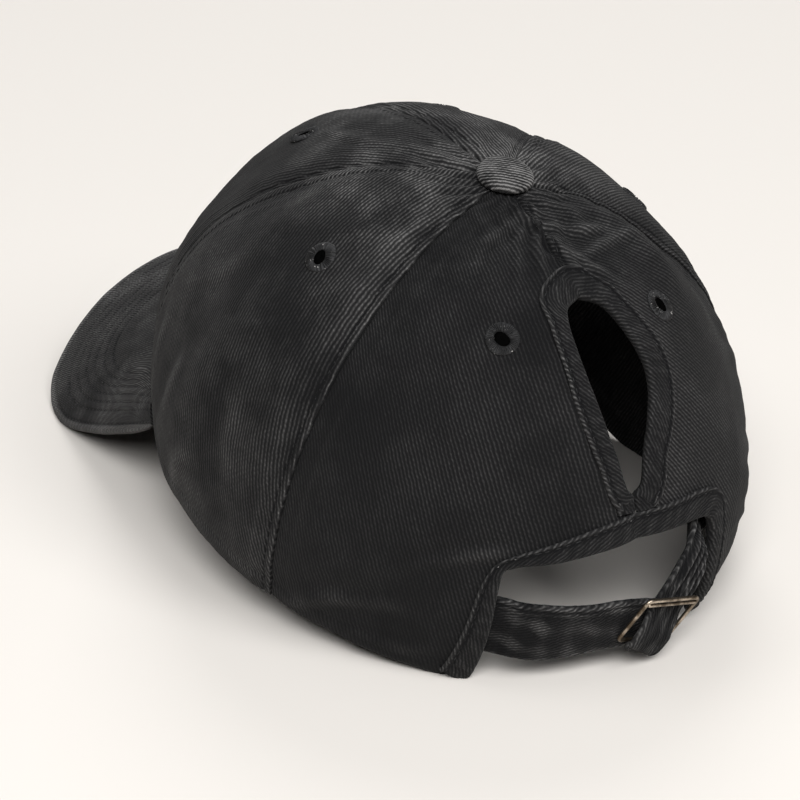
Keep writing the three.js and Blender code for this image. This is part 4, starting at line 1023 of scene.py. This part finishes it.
# The profile turned about the button's axis; straight ribs cross its cloth.
def buttonPiece():
    radius = button["diameter"] / 2
    out, up = np.array(buttonProfile).T
    fine = np.linspace(0, 1, 60)
    spots = np.linspace(0, 1, len(out))
    out, up = np.interp(fine, spots, out), np.interp(fine, spots, up)
    around = np.linspace(0, 2 * math.pi, 97)[:-1]
    r = radius * out[None, :] * (1 + 0.012 * np.sin(3 * around + 1))[:, None]
    soft = waves(np.cos(around)[:, None] * r, np.sin(around)[:, None] * r, 7, 91)
    z = button["height"] * up[None, :] + 0.12 * soft * smooth(up, 0.2, 0.6)[None, :]
    turned = around + button["ribTurn"] * degree
    across, along = -r * np.cos(turned)[:, None], r * np.sin(turned)[:, None]
    ribs = np.sin(2 * math.pi * along / button["ribPitch"])
    z = z + button["ribs"] * ribs * smooth(up, 0.3, 0.6)[None, :]
    top = crownPoint(np.array(0.0), np.array(1.0)) + np.array([0, 0, crown["cloth"] / 2 + crown["clearance"]])
    grid = top + np.stack([r * np.cos(around)[:, None], r * np.sin(around)[:, None], z], axis=-1)
    index = np.arange(grid.shape[0] * grid.shape[1]).reshape(grid.shape[:2])
    index = np.concatenate([index, index[:1]])
    quads = quadsOf(index)
    low, high = index[:-1, 0], index[:-1, -1]
    # Quads from one side of a ring to the other close each end
    caps = [np.stack([ring[:47], ring[1:48], ring[94:47:-1], ring[95:48:-1]], axis=-1)
            for ring in (low, high)]
    quads = np.concatenate([quads, caps[0], caps[1][:, ::-1]])
    across = np.stack([along - 0.6 * z, across], axis=-1)
    wear = 0.3 * hump(up - 0.55, 0.3)[None, :] + 0.3 * waves(grid[..., 0], grid[..., 1], 5, 92)
    piece = makeMesh("fabric_button", grid.reshape(-1, 3), quads, across.reshape(-1, 2), wear.reshape(-1))
    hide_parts("button")
    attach(piece, "root")
    return piece


# A flat ring with radial ridges for the thread, wound round an uneven hole, and a black disc
# in the hole as painted shade, since the cloth under it is not cut.
def eyeletPiece(place, side, seed):
    sign = 1 if side == "left" else -1
    angle, share = eyeletPlaces[place]
    angle = np.array(sign * angle * degree)
    share = np.array(share)
    normal = surfaceNormal(domePoint, angle, share)
    base = crownPoint(angle, share) + surfaceNormal(crownPoint, angle, share) * (crown["cloth"] / 2 + 0.12)
    tangent = unit(np.cross(normal, np.array([0.3, 0.2, 0.9])))
    other = np.cross(normal, tangent)
    outer, inner = eyelet["diameter"] / 2, eyelet["hole"] / 2
    around = np.linspace(0, 2 * math.pi, 321)[:-1][:, None]
    rng = np.random.default_rng(seed)
    lean = rng.uniform(0, 2 * math.pi, 3)
    hole = inner * (1 + 0.12 * np.sin(around + lean[0]) + 0.14 * np.sin(2 * around + lean[1]))
    rim = outer * (1 + 0.02 * np.sin(3 * around + lean[2]) + 0.012 * np.sin(eyelet["threads"] * around))
    spots = np.array([0, 0.0, 0.12, 0.3, 0.55, 0.8, 0.95, 1.0, 0.96, 0.5, 0.06])[None, :]
    up = np.array([-0.2, 0.45, 0.82, 0.98, 0.95, 0.75, 0.45, 0.1, -0.25, -0.3, -0.3])[None, :]
    thread = 1 + 0.3 * np.sin(eyelet["threads"] * (around + 0.1 * np.sin(5 * around))) * (up > 0)
    r = hole + (rim - hole) * spots
    sag = -r ** 2 / 190
    z = eyelet["thickness"] * up * thread + sag
    grid = circled(base, r, around, tangent, other) + z[..., None] * normal
    name = f"stitched_eyelet_{place}_{side}"
    turned = np.stack([around * 6 + 0 * r, r], axis=-1)
    wear = 0.25 * np.clip(thread - 1, 0, 1) * 6 + 0 * r
    piece = ringMesh(name, grid, turned.reshape(-1, 2), wear.reshape(-1))
    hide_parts(f"eyelet_{place}_{side}")
    turn = np.linspace(0, 2 * math.pi, 25)[:-1][:, None]
    r = np.array([0.02, 1.15, 1.15, 0.02])[None, :] * inner
    z = np.array([0.06, 0.06, -0.3, -0.3])[None, :] + 0 * turn
    disc = circled(base, r, turn, tangent, other) + z[..., None] * normal
    # The black disc stands for the hole: painted shade.
    hole = ringMesh(f"eyelet_hole_{place}_{side}", disc)
    for made in (piece, hole):
        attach(made, "root")
    return piece, hole


buttonCover = buttonPiece()
eyeletPieces = [eyeletPiece(place, side, 100 + i) for i, (place, side) in enumerate(
    (place, side) for side in ("left", "right") for place in ("front", "side", "back"))]
print("button and eyelets made")


# Stitches

thread = {"pitch": 2.9, "length": 2.2, "width": 0.36}


# Copies of a small capsule along a line of points: a length, a width and a normal each.
def stitchesAlong(points, normals, sink=0.08):
    run = runningLength(points)
    places = np.arange(thread["pitch"] / 2, run[-1], thread["pitch"])
    centre = placesAlong(places, run, points)
    normal = unit(placesAlong(places, run, normals))
    along = unit(placesAlong(places + 0.6, run, points) - centre)
    across = unit(np.cross(normal, along))
    lengths = np.array([-1, -0.8, 0, 0.8, 1.0]) * thread["length"] / 2
    sizes = np.array([0.1, 0.75, 1.0, 0.75, 0.1]) * thread["width"] / 2
    arcs = -0.35 * np.abs(lengths) ** 1.5
    round = np.linspace(0, 2 * math.pi, 7)[:-1]
    x = np.repeat(lengths[:, None], 6, axis=1)
    y = sizes[:, None] * np.cos(round)
    z = sizes[:, None] * np.sin(round) * 0.8 + arcs[:, None] * 0.25 - sink
    return (centre[:, None, None] + x[None, ..., None] * along[:, None, None]
            + y[None, ..., None] * across[:, None, None] + z[None, ..., None] * normal[:, None, None])


# One piece of all capsules, each of five rings of six points; two quads close each end.
def stitchPiece(name, batches):
    grid = np.concatenate(batches)
    count, rings, sides = grid.shape[:3]
    index = np.arange(rings * sides).reshape(rings, sides)
    index = np.concatenate([index, index[:, :1]], axis=1)
    ends = np.array([[3, 2, 1, 0], [5, 4, 3, 0], [24, 25, 26, 27], [24, 27, 28, 29]])
    quads = np.concatenate([quadsOf(index), ends])[:, ::-1]
    every = (quads[None] + rings * sides * np.arange(count)[:, None, None]).reshape(-1, 4)
    piece = makeMesh(name, grid.reshape(-1, 3), every)
    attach(piece, "root")
    return piece


# Rows of stitches beside the seams; those of the rear one start above the opening's crest.
def seamStitches():
    above = opening["start"] + opening["length"] + foldSetback + 1.3 * opening["strip"]
    batches = []
    for seam in (0.0, frontSeam, rearSeam, -frontSeam, -rearSeam, 180.0):
        low = np.interp(above, backLengths, climbShares) if seam == 180.0 else 0.03
        share = np.linspace(low, 0.955, 400)
        side = -1 if seam < 0 else 1
        speed = domeReach(seam * degree, share) * np.interp(abs(seam) * degree, arcAngles, arcSpeed)
        for row in seamRows[abs(seam)]:
            angle = seam * degree + side * row / speed
            batches.append(stitchesAlong(clothPoint(angle, share, crown["cloth"] / 2),
                                         surfaceNormal(crownPoint, angle, share)))
    return stitchPiece("crown_stitches", batches)


# A row of stitches in the groove of each folded strip.
def stripStitches():
    over = crown["cloth"] / 2 + crown["stripClearance"] + crown["strip"] - strips["groove"] * 0.8
    batches = []
    for path in (archPath, openingPath):
        perAngle, perShare, _ = stripFrame(path)
        away = path[:, 2] - strips["groovePlace"] * np.minimum(1, path[:, 2] / strips["fullWidth"])
        angle = path[:, 0] + perAngle * away
        share = np.maximum(path[:, 1] + perShare * away, 0)
        line = clothPoint(angle, share, over, 0.5)
        batches.append(stitchesAlong(line, surfaceNormal(crownPoint, angle, share)))
    return stitchPiece("strip_stitches", batches)


# A row of stitches in each groove of the visor, at its distance from the free edge.
def visorStitches():
    height = visorRelief()[0] + visor["thickness"] / 2
    top = visorMiddle + visorUp * height[..., None]
    columns = np.arange(top.shape[0])
    batches = []
    for inset in (visor["edgeRoll"],) + visor["rowInsets"]:
        t = 1 - inset / visorSpan
        kept = t > 0.06
        place = np.interp(t, visorSteps, np.arange(len(visorSteps)))
        low = np.minimum(place.astype(int), top.shape[1] - 2)
        w = (place - low)[:, None]
        line = top[columns, low] * (1 - w) + top[columns, low + 1] * w
        up = visorUp[columns, low]
        batches.append(stitchesAlong(line[kept], up[kept]))
    return stitchPiece("visor_stitches", batches)


stitchPieces = [seamStitches(), stripStitches(), visorStitches()]
print("stitches made")


# Materials

# A socket that Python's operators join to Math nodes.
class Field:
    def __init__(self, finish, socket):
        self.finish = finish
        self.socket = socket

    # A Math node of these values.
    def maths(self, operation, *values):
        return self.finish.node("ShaderNodeMath", {"operation": operation}, dict(enumerate(values)))

    def __add__(self, other):
        return self.maths("ADD", self, other)

    __radd__ = __add__

    def __sub__(self, other):
        return self.maths("SUBTRACT", self, other)

    def __rsub__(self, other):
        return self.maths("SUBTRACT", other, self)

    def __mul__(self, other):
        return self.maths("MULTIPLY", self, other)

    __rmul__ = __mul__

    def __truediv__(self, other):
        return self.maths("DIVIDE", self, other)

    def __pow__(self, other):
        return self.maths("POWER", self, other)

    def sine(self):
        return self.maths("SINE", self)

    # The value kept between two limits.
    def within(self, low, high):
        return self.maths("MINIMUM", self.maths("MAXIMUM", self, low), high)


# A material, whose nodes are made as they are asked for.
class Finish:
    def __init__(self, name, roughness, metallic=0.0):
        self.material = bpy.data.materials.new(name)
        self.material.use_nodes = True
        self.tree = self.material.node_tree
        self.tree.nodes.clear()
        self.shader = self.tree.nodes.new("ShaderNodeBsdfPrincipled")
        output = self.tree.nodes.new("ShaderNodeOutputMaterial")
        self.tree.links.new(self.shader.outputs[0], output.inputs[0])
        self.shader.inputs["Roughness"].default_value = roughness
        self.shader.inputs["Metallic"].default_value = metallic

    # A node of any type: its settings first, then the values or links of its sockets.
    def node(self, kind, settings=None, values=None, output=0):
        made = self.tree.nodes.new(kind)
        for key, value in (settings or {}).items():
            setattr(made, key, value)
        for key, value in (values or {}).items():
            self.feed(value, made.inputs[key])
        return Field(self, made.outputs[output])

    # Links a field to a socket, or sets the socket's own value.
    def feed(self, value, socket):
        if isinstance(value, Field):
            self.tree.links.new(value.socket, socket)
        else:
            socket.default_value = value

    # A colour between two, by a mask from 0 to 1.
    def mixed(self, mask, dark, light):
        return self.node("ShaderNodeMix", {"data_type": "RGBA"}, {0: mask, 6: dark, 7: light}, 2)

    def noise(self, vector, scale, detailLevel=2.0, roughness=0.5):
        values = {"Vector": vector, "Scale": scale, "Detail": detailLevel, "Roughness": roughness}
        return self.node("ShaderNodeTexNoise", {}, values)

    def surface(self, name, value):
        self.feed(value, self.shader.inputs[name])

    def bump(self, height, strength, distance):
        values = {"Strength": strength, "Distance": distance, "Height": height}
        self.surface("Normal", self.node("ShaderNodeBump", {}, values))


# Twill: ribs across the cloth's own x, cut into slanted floats along y, with fuzz, a wash that fades in
# patches, wear on the ridges, painted shade in the grooves and painted light that grows with the height.
def twillFinish(name, look):
    finish = Finish(name, look["roughness"])
    weave = finish.node("ShaderNodeUVMap", {"uv_map": "weave"})
    place = finish.node("ShaderNodeTexCoord", output=3)
    x = finish.node("ShaderNodeSeparateXYZ", {}, {"Vector": weave})
    y = finish.node("ShaderNodeSeparateXYZ", {}, {"Vector": weave}, 1)
    wobble = finish.noise(weave, 0.35, 2.0)
    phase = (x + wobble * look["wobble"]) / look["pitch"]
    rib = (phase * (2 * math.pi)).sine() * 0.5 + 0.5
    floats = ((y / look["floatLength"] + phase * 0.6) * (2 * math.pi)).sine() * 0.5 + 0.5
    fuzz = finish.noise(weave, 2.6, 3.0, 0.6)
    broken = finish.noise(weave, 0.8, 2.0, 0.6)
    yarn = rib * (0.72 + 0.28 * floats) * (0.45 + 1.1 * broken)
    wash = finish.noise(place, look["washScale"], 4.0, 0.62)
    patches = finish.noise(place, look["washScale"] * 0.32, 2.0, 0.5)
    faded = ((wash - 0.44) * 4).within(0, 1) * 0.55 + ((patches - 0.45) * 4).within(0, 1) * 0.45
    wear = finish.node("ShaderNodeAttribute", {"attribute_name": "wear"}, output=2)
    height = finish.node("ShaderNodeSeparateXYZ", {}, {"Vector": place}, 2)
    # Painted light: the cloth is made lighter with its height above the floor, most near the very top, where
    # the light from above falls.
    paintedTopLight = 0.7 + ((height - 0.055) * 16).within(0, 1) * 0.2 + ((height - 0.106) * 50).within(0, 1) * 2.4
    yarn = yarn ** 2 * 1.9
    mask = yarn * (look["ribLight"] + look["washLight"] * faded) * paintedTopLight
    mask = mask + wear.within(0, 1) * look["wearLight"] * (0.25 + 0.75 * yarn)
    # Negative wear darkens the grooves: painted shade.
    mask = mask + fuzz * 0.09 - 0.045 + wear.within(-1, 0) * 0.12 + faded * paintedTopLight * look["washLight"] * 0.2
    # tone scales the mask: painted shade on panels that the light leaves darker, painted light on the button
    # on top
    shade = finish.mixed((mask * look["tone"]).within(0, 1), look["dark"], look["light"])
    finish.surface("Base Color", shade)
    height = rib * (0.75 + 0.25 * floats) * 0.7 + fuzz * 0.3
    finish.bump(height, look["bumpStrength"], look["bumpDepth"] * mm)
    finish.shader.inputs["Sheen Weight"].default_value = look["sheen"]
    finish.shader.inputs["Sheen Roughness"].default_value = 0.55
    finish.shader.inputs["Specular IOR Level"].default_value = 0.15
    return finish.material


# The twill's look: colours, lengths in millimetres and how strongly each effect shows
panelLook = {
    "dark": (0.0035, 0.0035, 0.004, 1), "light": (0.2, 0.196, 0.193, 1), "roughness": 0.9, "sheen": 0.02,
    "pitch": 1.15, "wobble": 0.7, "floatLength": 1.5, "washScale": 42.0, "ribLight": 0.05, "washLight": 0.34,
    "wearLight": 0.42, "bumpStrength": 0.95, "bumpDepth": 0.3, "tone": 1.0,
}
stripLook = dict(panelLook, pitch=0.95, wobble=1.2, washScale=70.0, ribLight=0.03, washLight=0.13,
                 wearLight=0.5, tone=0.72)
visorLook = dict(panelLook, ribLight=0.05, washLight=0.5, washScale=70.0, bumpStrength=0.45, pitch=0.9)

# Painted shade and light: each panel's twill is a darker or lighter copy, scaling how much of the fading it
# shows, as the light falls on that side of the cap
paintedPanelShades = {
    "front_left": 0.62, "side_left": 0.9, "back_left": 0.31,
    "back_right": 0.7, "side_right": 0.7, "front_right": 0.7,
}


# Near-black thread with rare light glints.
def threadFinish():
    finish = Finish("black_thread", 0.62)
    place = finish.node("ShaderNodeTexCoord", output=3)
    spot = finish.noise(place, 900.0, 2.0)
    base = finish.mixed(((spot - 0.45) * 3).within(0, 1), (0.003, 0.003, 0.0035, 1), (0.018, 0.018, 0.019, 1))
    glint = ((finish.noise(place, 1100.0, 1.0) - 0.7) * 14).within(0, 1)
    finish.surface("Base Color", finish.mixed(glint, base, (0.32, 0.31, 0.3, 1)))
    finish.bump(finish.noise(place, 2500.0, 2.0), 0.4, 0.05 * mm)
    finish.shader.inputs["Specular IOR Level"].default_value = 0.4
    return finish.material


# Black with no shine: painted shade for the discs in the eyelets' holes.
def paintedHoleShadeFinish():
    finish = Finish("hole_black", 1.0)
    finish.shader.inputs["Base Color"].default_value = (0.0015, 0.0015, 0.0015, 1)
    finish.shader.inputs["Specular IOR Level"].default_value = 0.0
    return finish.material


# Worn brass: dull brown with paler rubbed patches that are smoother.
def brassFinish():
    finish = Finish("worn_brass", 0.3, 1.0)
    place = finish.node("ShaderNodeTexCoord", output=3)
    cloud = finish.noise(place, 320.0, 3.0, 0.6)
    rubbed = ((cloud - 0.42) * 3.5).within(0, 1)
    finish.surface("Base Color", finish.mixed(rubbed, (0.13, 0.1, 0.07, 1), (0.6, 0.51, 0.41, 1)))
    finish.surface("Roughness", 0.46 - rubbed * 0.2)
    finish.bump(finish.noise(place, 1600.0, 2.0), 0.15, 0.05 * mm)
    return finish.material


# Gives a piece its one material.
def dress(piece, material):
    piece.data.materials.clear()
    piece.data.materials.append(material)


stripTwill = twillFinish("washed_strip", stripLook)
blackThread = threadFinish()
wornBrass = brassFinish()
paintedHoleShade = paintedHoleShadeFinish()
for piece in panelPieces:
    place = piece.name.replace("cloth_", "")
    dress(piece, twillFinish("washed_twill_" + place, dict(panelLook, tone=paintedPanelShades[place])))
dress(visorShell, twillFinish("washed_twill_visor", visorLook))
# The button on top is made lighter: painted light.
dress(buttonCover, twillFinish("washed_twill_button", dict(panelLook, tone=1.5, ribLight=0.1)))
for piece in (archStrip, openingStrip, strapBand, tabBand):
    dress(piece, stripTwill)
for piece in [ring for ring, _ in eyeletPieces] + stitchPieces:
    dress(piece, blackThread)
for _, hole in eyeletPieces:
    dress(hole, paintedHoleShade)
for piece in wires:
    dress(piece, wornBrass)
print("materials made")


# Floor, light and camera

# The camera's place is in metres, its turns are in degrees and its lens is in millimetres
studio = {
    "floorColour": (0.8, 0.764, 0.722, 1), "floorHalf": 4.0, "world": (1.0, 0.985, 0.965),
    "worldStrength": 0.04, "aim": (0.0, 0.02, 0.05), "cameraPlace": (0.44273, 0.73453, 0.45057),
    "azimuth": 148.916, "elevation": 26.016, "roll": 0.2, "lens": 138.99,
}

# Soft lights, all turned to the cap: degrees round it and above the floor, size in metres
lightDistance = 3.0
lights = (
    {"name": "front", "azimuth": 148.91, "elevation": 45.0, "size": 1.6, "power": 68.0},
    {"name": "front_right", "azimuth": 193.93, "elevation": 45.29, "size": 1.6, "power": 42.5},
    {"name": "behind", "azimuth": 328.91, "elevation": 42.0, "size": 1.6, "power": 30.7},
    {"name": "left", "azimuth": 58.91, "elevation": 45.0, "size": 1.6, "power": 10.5},
    {"name": "overhead", "azimuth": 0.0, "elevation": 90.0, "size": 3.0, "power": 8.0},
)


# Direction of a place round the cap, at an azimuth and an elevation in degrees.
def seenFrom(azimuth, elevation):
    level = math.cos(elevation * degree)
    return np.array([math.sin(azimuth * degree) * level, -math.cos(azimuth * degree) * level,
                     math.sin(elevation * degree)])


# A large pale square that the cap lies on.
def makeFloor():
    half = studio["floorHalf"]
    mesh = bpy.data.meshes.new("floor")
    corners = [(-half, -half, 0), (half, -half, 0), (half, half, 0), (-half, half, 0)]
    mesh.from_pydata(corners, [], [(0, 1, 2, 3)])
    floor = bpy.data.objects.new("floor", mesh)
    bpy.context.scene.collection.objects.link(floor)
    finish = Finish("pale_floor", 0.85)
    finish.shader.inputs["Base Color"].default_value = studio["floorColour"]
    finish.shader.inputs["Specular IOR Level"].default_value = 0.1
    dress(floor, finish.material)


# A faint even light from all sides and the area lights.
def makeLights():
    world = bpy.data.worlds.new("studio")
    world.use_nodes = True
    shade = world.node_tree.nodes["Background"]
    shade.inputs["Color"].default_value = (*studio["world"], 1)
    shade.inputs["Strength"].default_value = studio["worldStrength"]
    bpy.context.scene.world = world
    for row in lights:
        data = bpy.data.lights.new(row["name"], "AREA")
        data.shape = "DISK"
        data.size = row["size"]
        data.energy = row["power"]
        lamp = bpy.data.objects.new(row["name"], data)
        place = lightDistance * seenFrom(row["azimuth"], row["elevation"])
        lamp.location = place.tolist()
        towards = np.array(studio["aim"]) - place
        lamp.rotation_euler = Vector(towards).to_track_quat("-Z", "Y").to_euler()
        bpy.context.scene.collection.objects.link(lamp)


# The camera's axes follow from the azimuth and elevation it looks from, turned by the roll.
def makeCamera():
    back = seenFrom(studio["azimuth"], studio["elevation"])
    roll = studio["roll"] * degree
    right = unit(np.cross([0, 0, 1], back))
    up = np.cross(back, right)
    right, up = right * math.cos(roll) + up * math.sin(roll), up * math.cos(roll) - right * math.sin(roll)
    data = bpy.data.cameras.new("camera")
    data.lens = studio["lens"]
    data.sensor_width = 36
    camera = bpy.data.objects.new("camera", data)
    turned = Matrix(np.stack([right, up, back], axis=1).tolist()).to_4x4()
    turned.translation = studio["cameraPlace"]
    camera.matrix_world = turned
    bpy.context.scene.collection.objects.link(camera)
    bpy.context.scene.camera = camera


makeFloor()
makeLights()
makeCamera()
bpy.context.scene.view_settings.view_transform = "Standard"
print("studio made")
